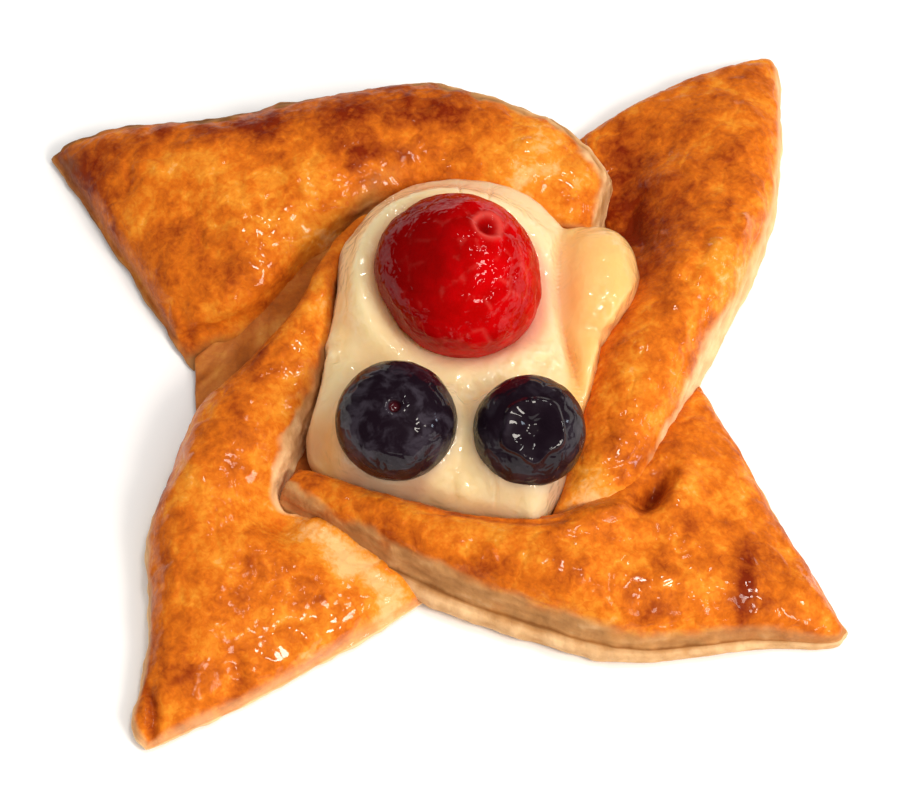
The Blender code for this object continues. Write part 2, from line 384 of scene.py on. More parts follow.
def settle(piece: bpy.types.Object, slot: Slot, *nodes: str) -> None:
    """Moves a finished piece from the tables' millimetres to the part's frame, attaches it to the root body and hides
    the solids it stands for.

    Args:
        piece: the object, its mesh in millimetres.
        slot: not used.
        nodes: solids that it stands for.
    """
    places = read_places(piece)
    places[:, :2] -= PLAN_MIDDLE
    write_places(piece, places * MM)
    clear_selection()
    bpy.context.view_layer.objects.active = piece
    piece.select_set(True)
    bpy.ops.object.shade_smooth()
    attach(piece, "root")
    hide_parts(*nodes)
    LOG.info("%s: %d faces", piece.name, len(piece.data.polygons))


# ---------------------------------------------------------------- finishes


class Graph:
    """A material's nodes, added and joined in order."""

    def __init__(self, name: str) -> None:
        """Starts a material with a Principled shader.

        Args:
            name: name of the material.
        """
        self.material = bpy.data.materials.new(name)
        self.material.use_nodes = True
        self.tree = self.material.node_tree
        self.shader = self.tree.nodes["Principled BSDF"]
        self.place = self.add("ShaderNodeTexCoord").outputs["Object"]

    def add(self, kind: str, **values: object) -> bpy.types.Node:
        """Adds a node.

        Args:
            kind: its type.
            values: properties of the node.

        Returns:
            The node.
        """
        node = self.tree.nodes.new(kind)
        for key, value in values.items():
            setattr(node, key, value)
        return node

    def join(self, socket: bpy.types.NodeSocket, value: object) -> None:
        """Links an output to an input, or sets the input.

        Args:
            socket: the input.
            value: an output, a number or a colour.
        """
        if isinstance(value, bpy.types.NodeSocket):
            self.tree.links.new(value, socket)
        else:
            socket.default_value = value

    def noise(
        self, size_mm: float, detail: float = 3.0, rough: float = 0.55, twist: float = 0.0
    ) -> bpy.types.NodeSocket:
        """Noise in object space.

        Args:
            size_mm: size of one swell.
            detail: layers of finer noise.
            rough: strength of the finer layers.
            twist: how far it is distorted.

        Returns:
            Its value, about 0 to 1.
        """
        node = self.add("ShaderNodeTexNoise")
        self.join(node.inputs["Vector"], self.place)
        self.join(node.inputs["Scale"], 1.0 / (size_mm * MM))
        self.join(node.inputs["Detail"], detail)
        self.join(node.inputs["Roughness"], rough)
        self.join(node.inputs["Distortion"], twist)
        return node.outputs["Fac"]

    def lumps(self, size_mm: float, warp_mm: float = 0.0) -> bpy.types.NodeSocket:
        """Rounded grains in object space.

        Args:
            size_mm: spacing of the grains.
            warp_mm: how far they are pushed out of shape.

        Returns:
            About 1 in the middle of a grain, falling to 0 between grains.
        """
        stir = self.add("ShaderNodeTexNoise")
        self.join(stir.inputs["Vector"], self.place)
        self.join(stir.inputs["Scale"], 0.6 / (size_mm * MM))
        shift = self.add("ShaderNodeVectorMath", operation="MULTIPLY_ADD")
        self.join(shift.inputs[0], stir.outputs["Color"])
        self.join(shift.inputs[1], (warp_mm * MM,) * 3)
        self.join(shift.inputs[2], self.place)
        node = self.add("ShaderNodeTexVoronoi", feature="F1")
        self.join(node.inputs["Vector"], shift.outputs[0])
        self.join(node.inputs["Scale"], 1.0 / (size_mm * MM))
        return self.spread(node.outputs["Distance"], 0.1, 0.85, 1.0, 0.0)

    def value(self, name: str) -> bpy.types.NodeSocket:
        """A number stored on the mesh.

        Args:
            name: name of the attribute.

        Returns:
            Its value.
        """
        return self.add("ShaderNodeAttribute", attribute_name=name).outputs["Fac"]

    def math(self, operation: str, first: object, second: object = 0.0, clamp: bool = False) -> bpy.types.NodeSocket:
        """Arithmetic on two values.

        Args:
            operation: the operation's name.
            first: an output or a number.
            second: an output or a number.
            clamp: whether the result is kept between 0 and 1.

        Returns:
            The result.
        """
        node = self.add("ShaderNodeMath", operation=operation, use_clamp=clamp)
        self.join(node.inputs[0], first)
        self.join(node.inputs[1], second)
        return node.outputs[0]

    def spread(
        self, value: object, low: float, high: float, to_low: float = 0.0, to_high: float = 1.0
    ) -> bpy.types.NodeSocket:
        """Maps one range to another, clamped.

        Args:
            value: an output.
            low: start of the range.
            high: end of the range.
            to_low: result at the start.
            to_high: result at the end.

        Returns:
            The mapped value.
        """
        node = self.add("ShaderNodeMapRange", interpolation_type="SMOOTHSTEP")
        self.join(node.inputs["Value"], value)
        for name, number in zip(("From Min", "From Max", "To Min", "To Max"), (low, high, to_low, to_high)):
            self.join(node.inputs[name], number)
        return node.outputs["Result"]

    def ramp(self, value: object, stops: tuple[tuple[float, Colour], ...]) -> bpy.types.NodeSocket:
        """Colours along a value.

        Args:
            value: an output.
            stops: positions and colours.

        Returns:
            The colour.
        """
        node = self.add("ShaderNodeValToRGB")
        band = node.color_ramp
        while len(band.elements) < len(stops):
            band.elements.new(0.5)
        for element, (place, colour) in zip(band.elements, stops):
            element.position = place
            element.color = (*colour, 1.0)
        self.join(node.inputs["Fac"], value)
        return node.outputs["Color"]

    def mix(self, share: object, first: object, second: object, blend: str = "MIX") -> bpy.types.NodeSocket:
        """Blends two colours.

        Args:
            share: how much of the second, an output or a number.
            first: an output or a colour.
            second: an output or a colour.
            blend: how they blend.

        Returns:
            The colour.
        """
        node = self.add("ShaderNodeMix", data_type="RGBA", blend_type=blend)
        self.join(node.inputs[0], share)
        for index, colour in ((6, first), (7, second)):
            self.join(node.inputs[index], (*colour, 1.0) if isinstance(colour, tuple) else colour)
        return node.outputs[2]

    def blend(self, share: object, first: object, second: object) -> bpy.types.NodeSocket:
        """Blends two numbers.

        Args:
            share: how much of the second.
            first: an output or a number.
            second: an output or a number.

        Returns:
            The blended number.
        """
        node = self.add("ShaderNodeMix", data_type="FLOAT")
        for index, value in ((0, share), (2, first), (3, second)):
            self.join(node.inputs[index], value)
        return node.outputs[0]

    def bump(
        self, height: object, depth_mm: float, strength: float = 1.0, under: object = None
    ) -> bpy.types.NodeSocket:
        """Relief from a height.

        Args:
            height: an output.
            depth_mm: depth that a height of 1 stands for.
            strength: share of the effect.
            under: normal that it is laid over.

        Returns:
            The normal.
        """
        node = self.add("ShaderNodeBump")
        self.join(node.inputs["Height"], height)
        self.join(node.inputs["Distance"], depth_mm * MM)
        self.join(node.inputs["Strength"], strength)
        if under is not None:
            self.join(node.inputs["Normal"], under)
        return node.outputs["Normal"]

    def set(self, **values: object) -> None:
        """Sets or links the shader's inputs.

        Args:
            values: input names, with _ for a space, and their values.
        """
        for key, value in values.items():
            self.join(self.shader.inputs[key.replace("_", " ")], value)


@dataclass(frozen=True)
class CrustFinish:
    """Browned laminated dough under a thin sugar glaze."""

    pale: Colour = (0.84, 0.47, 0.18)
    golden: Colour = (0.77, 0.265, 0.022)
    orange: Colour = (0.63, 0.142, 0.008)
    brown: Colour = (0.36, 0.062, 0.005)
    caramel: Colour = (0.19, 0.016, 0.002)
    crumb: Colour = (0.90, 0.58, 0.30)
    crumb_tan: Colour = (0.52, 0.25, 0.09)
    crumb_brown: Colour = (0.24, 0.09, 0.025)

    def material(self) -> bpy.types.Material:
        """Builds the material.

        Returns:
            The material. It reads toast, glaze, wet and leaf from the mesh.
        """
        g = Graph("baked dough")
        glaze = g.value("glaze")
        wet = g.value("wet")
        lumps = g.math("ADD", g.math("MULTIPLY", g.lumps(1.9, 4.5), 0.6), g.math("MULTIPLY", g.lumps(0.8, 1.6), 0.4))
        patch = g.math("MULTIPLY", g.math("SUBTRACT", g.noise(9.0, 3.0, 0.55, 0.9), 0.5), 0.80)
        flecks = g.math("MULTIPLY", g.math("SUBTRACT", g.noise(1.1, 3.0, 0.6, 1.5), 0.5), 0.42)
        fine = g.math("ADD", g.math("MULTIPLY", g.math("SUBTRACT", 0.5, lumps), 0.18), flecks)
        # the level holds painted shade and light from the dabs and creases as well as browning
        level = g.math("ADD", g.value("browning_and_shade"), g.math("ADD", patch, fine))
        skin = g.ramp(
            level,
            ((0.0, self.pale), (0.26, self.golden), (0.50, self.orange), (0.78, self.brown), (1.0, self.caramel)),
        )
        streak = g.math("MULTIPLY", g.math("SUBTRACT", g.noise(2.0, 4.0, 0.6), 0.5), 0.4)
        streak = g.math("ADD", g.value("cut_tone_and_shade"), streak)
        crumb = g.ramp(streak, ((0.0, self.crumb), (0.5, self.crumb_tan), (1.0, self.crumb_brown)))
        g.set(Base_Color=g.mix(glaze, crumb, skin))

        ripples = g.bump(g.noise(2.4, 3.0, 0.5, 0.5), 0.26)
        grain = g.bump(lumps, 0.08, 1.0, ripples)
        uneven = g.noise(3.0, 3.0)
        g.set(
            Normal=grain,
            Roughness=g.blend(glaze, 0.8, g.spread(uneven, 0.35, 0.65, 0.36, 0.55)),
            Specular_IOR_Level=0.10,
            Specular_Tint=(1.0, 0.72, 0.35, 1.0),
            Coat_Weight=g.math("MULTIPLY", glaze, g.math("ADD", g.spread(uneven, 0.42, 0.66, 0.03, 0.28), wet, True)),
            Coat_Roughness=0.07,
            Coat_Normal=g.bump(g.noise(4.2, 1.0, 0.5, 0.6), 0.85),
            Subsurface_Weight=0.06,
            Subsurface_Radius=(1.0, 0.4, 0.15),
            Subsurface_Scale=0.0012,
        )
        return g.material


@dataclass(frozen=True)
class CustardFinish:
    """Set custard with a wet sheen, stained by the fruit, with painted shade round the blueberries, in its pocket and
    in its crease.
    """

    cream: Colour = (0.98, 0.69, 0.385)
    # deep: the custard's deeper yellow, also used as painted shade
    deep: Colour = (0.95, 0.49, 0.165)
    pink: Colour = (0.85, 0.22, 0.18)
    juice_stain_and_shade: Colour = (0.30, 0.16, 0.15)

    def material(self) -> bpy.types.Material:
        """Builds the material.

        Returns:
            The material. It reads blush, shade and depth from the mesh.
        """
        g = Graph("set custard")
        cloud = g.spread(g.noise(9.0, 3.0), 0.3, 0.7)
        body = g.mix(g.math("MULTIPLY", cloud, 0.25), self.cream, self.deep)
        # depth carries painted shade in the crease and the pocket as well as the deeper yellow
        body = g.mix(g.value("depth"), body, self.deep)
        body = g.mix(g.value("blush"), body, self.pink)
        # a stain and painted shade round the blueberries, with painted shadow beside the left one and painted shade in
        # the pocket
        body = g.mix(g.value("shade"), body, self.juice_stain_and_shade)
        relief = g.bump(g.noise(2.6, 3.0, 0.5, 0.3), 0.22)
        wet = g.bump(g.noise(2.6, 1.0, 0.5, 0.8), 0.8)
        g.set(
            Base_Color=body,
            Normal=relief,
            Roughness=g.spread(g.noise(4.0, 3.0), 0.35, 0.65, 0.28, 0.45),
            Coat_Weight=0.8,
            Coat_Roughness=0.06,
            Coat_Normal=wet,
            Specular_IOR_Level=0.3,
            Subsurface_Weight=0.8,
            Subsurface_Radius=(1.0, 0.85, 0.6),
            Subsurface_Scale=0.008,
        )
        return g.material


@dataclass(frozen=True)
class RaspberryFinish:
    """Red fruit under clear jelly."""

    red: Colour = (0.50, 0.001, 0.002)
    # the deep red of the painted shade
    deep: Colour = (0.13, 0.001, 0.001)
    cherry: Colour = (0.38, 0.001, 0.001)
    seam: Colour = (0.80, 0.13, 0.10)

    def material(self) -> bpy.types.Material:
        """Builds the material.

        Returns:
            The material. It reads seam, ring and dark from the mesh.
        """
        g = Graph("glazed raspberry")
        cloud = g.spread(g.noise(3.2, 3.0), 0.35, 0.65)
        body = g.mix(cloud, self.cherry, self.red)
        broken = g.spread(g.noise(2.6, 3.0), 0.47, 0.60)
        line = g.math("MULTIPLY", g.value("seam"), broken, True)
        body = g.mix(g.math("MULTIPLY", line, 0.17), body, self.seam)
        # painted shade: darker on the side turned from the lamps and in the hollow at the top
        body = g.mix(g.value("painted_shade"), body, self.deep)
        body = g.mix(g.math("MULTIPLY", g.value("ring"), 0.40), body, self.seam)
        g.set(
            Base_Color=body,
            Normal=g.bump(g.noise(0.8, 3.0, 0.55, 0.6), 0.06),
            Roughness=0.5,
            Specular_IOR_Level=0.0,
            Coat_Weight=0.38,
            Coat_Roughness=0.05,
            Coat_Normal=g.bump(g.noise(1.6, 1.0, 0.5, 0.8), 0.30),
            Subsurface_Weight=0.2,
            Subsurface_Radius=(1.0, 0.05, 0.05),
            Subsurface_Scale=0.001,
        )
        return g.material


@dataclass(frozen=True)
class BlueberryFinish:
    """Dark skin with a rubbed bloom under clear jelly."""

    skin: Colour = (0.009, 0.004, 0.008)
    bloom: Colour = (0.034, 0.026, 0.036)
    wine: Colour = (0.060, 0.006, 0.010)

    def material(self) -> bpy.types.Material:
        """Builds the material.

        Returns:
            The material. It reads wine and bare from the mesh.
        """
        g = Graph("glazed blueberry")
        patch = g.spread(g.noise(3.0, 5.0, 0.6, 0.5), 0.44, 0.66)
        patch = g.math("MULTIPLY", patch, g.math("SUBTRACT", 1.0, g.value("bare"), True))
        body = g.mix(patch, self.skin, self.bloom)
        body = g.mix(g.value("wine"), body, self.wine)
        g.set(
            Base_Color=body,
            Normal=g.bump(g.noise(0.6, 3.0), 0.03),
            Roughness=0.5,
            Specular_IOR_Level=0.05,
            Coat_Weight=0.5,
            Coat_Roughness=0.05,
            Coat_Normal=g.bump(g.noise(2.2, 1.0, 0.5, 0.8), 0.35),
        )
        return g.material


@dataclass(frozen=True)
class TableFinish:
    """Plain pale table top."""

    white: Colour = (0.95, 0.95, 0.95)

    def material(self) -> bpy.types.Material:
        """Builds the material.

        Returns:
            The material.
        """
        g = Graph("pale table")
        g.set(Base_Color=(*self.white, 1.0), Roughness=0.8)
        return g.material


# ---------------------------------------------------------------- dough


@dataclass
class Arm:
    """One arm of the pinwheel: a flat pointed blade that narrows into a raised band.

    The outer rail runs from the blade's tip to the band's end, on the side away from the custard.
    The inner rail runs from the notch beside the previous arm to the band's end.
    """

    name: str
    outer: tuple[Plan, ...]
    inner: tuple[Plan, ...]
    crest: tuple[float, ...]
    outer_wall: tuple[float, ...]
    inner_wall: tuple[float, ...]
    reach: float
    bow: float
    outer_side: tuple[float, ...]
    inner_side: tuple[float, ...]
    short_side: float
    sole: float
    seed: int
    end_side: float = 0.0
    lean: tuple[float, ...] = (0.0, 0.0)
    outer_lean: tuple[float, ...] = (0.0, 0.0)
    lobe: tuple[float, ...] = (0.0, 0.0)
    crumb_tone_and_shade: tuple[float, ...] = (0.3, 0.3)
    upper_tone: float = 0.1
    strata: float = 0.4
    end_reach: float = 1.0
    end_height: float = 0.5
    dents: tuple[Dab, ...] = ()
    browning_and_shade_dabs: tuple[Dab, ...] = ()
    matts: tuple[Dab, ...] = ()
    wets: tuple[Dab, ...] = ()
    drape: Plan = (0.0, 0.0)
    creases: tuple[Crease, ...] = ()
    faces_along: int = 260
    faces_across: int = 130
    courses: int = 14
    blade_edge: float = 3.6
    blade_reach: float = 9.0

    def build(self, finish: bpy.types.Material) -> bpy.types.Object:
        """Models the arm.

        Args:
            finish: its material.

        Returns:
            The finished piece.
        """
        piece = grid_block(self.name, self.faces_along, self.faces_across, self.courses)
        self.lay_out(piece)
        self.sculpt(piece)
        piece.data.materials.append(finish)
        settle(piece, Slot.CRUST, "pastry")
        return piece

    def length(self) -> float:
        """Measures the outer rail."""
        return float(np.linalg.norm(np.diff(curve_through(self.outer, np.linspace(0, 1, 40)), axis=0), axis=1).sum())

    def lay_out(self, piece: bpy.types.Object) -> None:
        """Moves the cage's points from the block to the arm's rails.

        Args:
            piece: the block.
        """
        block = read_places(piece)
        u, v, depth = (block[:, 0] + 1) / 2, (block[:, 1] + 1) / 2, -block[:, 2]
        share = u**1.25
        across = 0.35 * v + 0.65 * (0.5 - 0.5 * np.cos(np.pi * v))
        start, stop = curve_through(self.outer, share), curve_through(self.inner, share)
        width = np.linalg.norm(stop - start, axis=1)
        ray = (stop - start) / width[:, None]
        first = np.array(self.inner[0]) - np.array(self.outer[0])
        blade = np.array([first[1], -first[0]]) / np.linalg.norm(first)
        if blade @ (np.array(self.outer[0]) - np.array(self.outer[-1])) < 0:
            blade = -blade
        reach = np.minimum(self.reach, width / 2)
        crest = between(self.crest, share)
        wall = between(self.outer_wall, share) * (1 - across) + between(self.inner_wall, share) * across
        from_blade = rise(share * self.length(), self.blade_reach)
        from_end = self.end_height + (1 - self.end_height) * rise((1 - share) * self.length(), self.end_reach)
        from_sides = rise(across * width, reach) * rise((1 - across) * width, reach)
        wall = wall * from_blade + self.blade_edge * (1 - from_blade)
        height = (wall + np.maximum(crest - wall, 0) * from_sides * from_blade) * from_end
        bow = self.bow * np.sin(np.pi * across) * (1 - smooth_step(0.0, 0.4, share))
        plan = start + (stop - start) * across[:, None] + blade * bow[:, None]
        plan -= ray * (between(self.lean, share) * across * (1 - smooth_step(0.1, 0.9, depth)))[:, None]
        spill = between(self.outer_lean, share) * (1 - across) ** 2 * (1 - smooth_step(0.25, 0.5, depth))
        plan += ray * spill[:, None]

        far, near = v < 1e-4, v > 1 - 1e-4
        out = ray * near[:, None] - ray * far[:, None] + blade * (u < 1e-4)[:, None]
        out /= np.maximum(np.linalg.norm(out, axis=1), 1e-6)[:, None]
        fold = between(self.lobe, share) * far
        upper = np.sin(np.pi * np.clip(depth / 0.28, 0, 1)) * 0.35
        lower = np.sin(np.pi * np.clip((depth - 0.28) / 0.72, 0, 1)) ** 0.7
        belly = 0.45 * np.sin(np.pi * depth) * (fold < 0.01) + fold * (upper + lower)
        plan += out * belly[:, None]
        write_places(piece, np.column_stack([plan, self.sole + (height - self.sole) * (1 - depth)]))
        write_value(piece, "along", share)
        write_value(piece, "across", across)
        write_value(piece, "depth", depth)
        write_value(piece, "fold", np.minimum(2 * fold, 1.0) * np.exp(-(((depth - 0.29) / 0.06) ** 2)))

    def sculpt(self, piece: bpy.types.Object) -> None:
        """Adds blisters, wrinkles and leaves, and works out how each spot has browned, with the shade and light that
        the dabs and creases paint on.

        Args:
            piece: the smooth arm.
        """
        places, normals = read_places(piece), read_normals(piece)
        share, across, depth, fold = (read_value(piece, n) for n in ("along", "across", "depth", "fold"))
        grain, other = Grain(self.seed), Grain(self.seed + 100)
        start, stop = curve_through(self.outer, share), curve_through(self.inner, share)
        width = np.linalg.norm(stop - start, axis=1)
        wander = 0.9 * grain.layered(places, 5.0, 3)
        edges = (
            (across * width, between(self.outer_side, share)),
            ((1 - across) * width, between(self.inner_side, share)),
            (share * self.length(), self.short_side),
            ((1 - share) * self.length(), self.end_side),
        )
        drop = self.drape[0] * (across < 1e-4) + self.drape[1] * (across > 1 - 1e-4)
        drop += 0.6 * (share > 1 - 1e-4) * (self.end_side < 0)
        bare = smooth_step(0.05, 0.35, depth - drop * (1 + 0.3 * wander))
        for inward, limit in edges:
            bare = np.maximum(bare, 1 - smooth_step(-0.6, 0.6, inward + wander * np.minimum(limit, 1.8) - limit))
        bare = np.clip(np.maximum(bare, sum_of(self.matts, places + 1.5 * wander[:, None])), 0, 1)
        on_top = 1 - bare

        swell = 0.36 * grain.layered(places, 9.0, 2)
        lumps = other.layered(places, 2.6, 3, 0.55)
        crinkle = np.abs(grain.layered(places + 40, 4.5, 3, 0.55))
        flakes = np.maximum(0.0, 0.16 - np.abs(other.layered(places + 80, 7.0, 2, 0.6))) / 0.16
        push = on_top * (swell + 0.12 * lumps - 0.10 * crinkle + 0.14 * flakes)

        level = places[:, 2] + 0.9 * grain.layered(places, 8.0, 3)
        leaves = np.sin(level * 2 * np.pi / 1.9 + 2.5 * other.at(places, (10.0, 10.0, 40.0)))
        rumple = grain.layered(places, 3.0, 3)
        ragged = other.layered(places + 60, 6.0, 3, 0.6)
        push += bare * (0.22 * self.strata * leaves + 0.16 * rumple + 0.30 * ragged) * smooth_step(1.0, 0.85, depth)
        push -= 0.6 * fold
        push *= smooth_step(1.0, 0.9, depth)
        places += normals * push[:, None]
        places[:, 2] += sum_of(self.dents, places) * smooth_step(1.0, 0.3, depth)
        for wet in self.wets:
            blister = Dab(wet.place, (0.55 * wet.size[0], 0.55 * wet.size[1]), 0.45, wet.angle)
            places[:, 2] += blister.on(places) * on_top
        # painted shade and light: the dabs and the creases' tints darken parts turned from the lamps and lighten some
        # that face them, besides browning
        shade_and_browning_tint = sum_of(self.browning_and_shade_dabs, places)
        for crease in self.creases:
            groove = crease.on(places) * smooth_step(0.6, 0.2, depth)
            places[:, 2] -= crease.depth * groove
            shade_and_browning_tint += crease.shade_and_browning_tint * groove
        places[:, 2] = np.maximum(places[:, 2], self.sole)
        write_places(piece, places)

        browning_and_shade = 0.43 + 0.20 * grain.layered(places + 9, 13.0, 2) + 0.06 * other.layered(places + 5, 4.0, 2)
        browning_and_shade += 0.15 * crinkle - 0.10 * lumps - 0.10 * flakes + shade_and_browning_tint
        write_value(piece, "browning_and_shade", browning_and_shade)
        write_value(piece, "glaze", on_top)
        write_value(piece, "wet", np.clip(sum_of(self.wets, places), 0, 1))
        # painted shade: the fold darkens its crease, and the crumb tone darkens cut walls that lie in shade
        tone = between(self.crumb_tone_and_shade, share) + self.strata * 0.35 * leaves + 0.18 * rumple + 0.7 * fold
        write_value(piece, "cut_tone_and_shade", tone + self.upper_tone * (1 - smooth_step(0.14, 0.34, depth)))


@dataclass
class Base:
    """The uncut middle of the dough, under the custard and the arms' roots."""

    corners: tuple[Plan, ...] = (
        (14.0, 38.0),
        (24.0, 22.0),
        (33.0, 13.0),
        (36.0, 0.6),
        (24.0, -30.0),
        (1.0, -29.5),
        (-21.0, -16.5),
        (-33.4, -3.4),
        (-33.9, 5.4),
        (-23.0, 16.0),
        (-10.0, 30.0),
    )
    thickness: float = 4.4
    taper: float = 0.5
    inset: float = 0.6

    def build(self, finish: bpy.types.Material) -> bpy.types.Object:
        """Models the base.

        Args:
            finish: its material.

        Returns:
            The finished piece.
        """
        clear_selection()
        bpy.ops.mesh.primitive_circle_add(vertices=len(self.corners), radius=1.0, fill_type="NGON")
        piece = bpy.context.object
        piece.name = piece.data.name = "dough_base"
        write_places(piece, np.array([(x, y, 0.0) for x, y in self.corners]))
        bpy.ops.object.mode_set(mode="EDIT")
        bpy.ops.mesh.select_all(action="SELECT")
        bpy.ops.mesh.extrude_region_move(TRANSFORM_OT_translate={"value": (0.0, 0.0, self.thickness)})
        bpy.ops.mesh.select_all(action="SELECT")
        bpy.ops.mesh.normals_make_consistent(inside=False)
        bpy.ops.mesh.bevel(offset=self.inset, segments=3, affect="EDGES")
        bpy.ops.mesh.quads_convert_to_tris()
        bpy.ops.mesh.subdivide(number_cuts=8)
        bpy.ops.object.mode_set(mode="OBJECT")
        places, normals = read_places(piece), read_normals(piece)
        grain = Grain(5)
        on_sole = places[:, 2] < 0.05
        push = 0.15 * grain.layered(places, 4.0, 3) * ~on_sole - 0.12 * (grain.at(places, 5.0) > 0.45) * on_sole
        places += normals * push[:, None]
        places[:, 2] *= 1 - self.taper * smooth_step(-22.0, -31.0, places[:, 0])
        places[:, 2] = np.maximum(places[:, 2], 0.0)
        write_places(piece, places)
        along = np.column_stack([places[:, 0] + places[:, 1], 6.0 * (places[:, 0] - places[:, 1]), places[:, 2]])
        write_value(piece, "browning_and_shade", 0.50 + 0.3 * grain.layered(along, 14.0, 3))
        write_value(piece, "glaze", 0.5 * smooth_step(0.5, 1.5, places[:, 2]))
        write_value(piece, "wet", np.zeros(len(places)))
        write_value(piece, "cut_tone_and_shade", 0.80 + 0.45 * grain.layered(along, 14.0, 3))
        piece.data.materials.append(finish)
        settle(piece, Slot.CRUST, "pastry")
        return piece


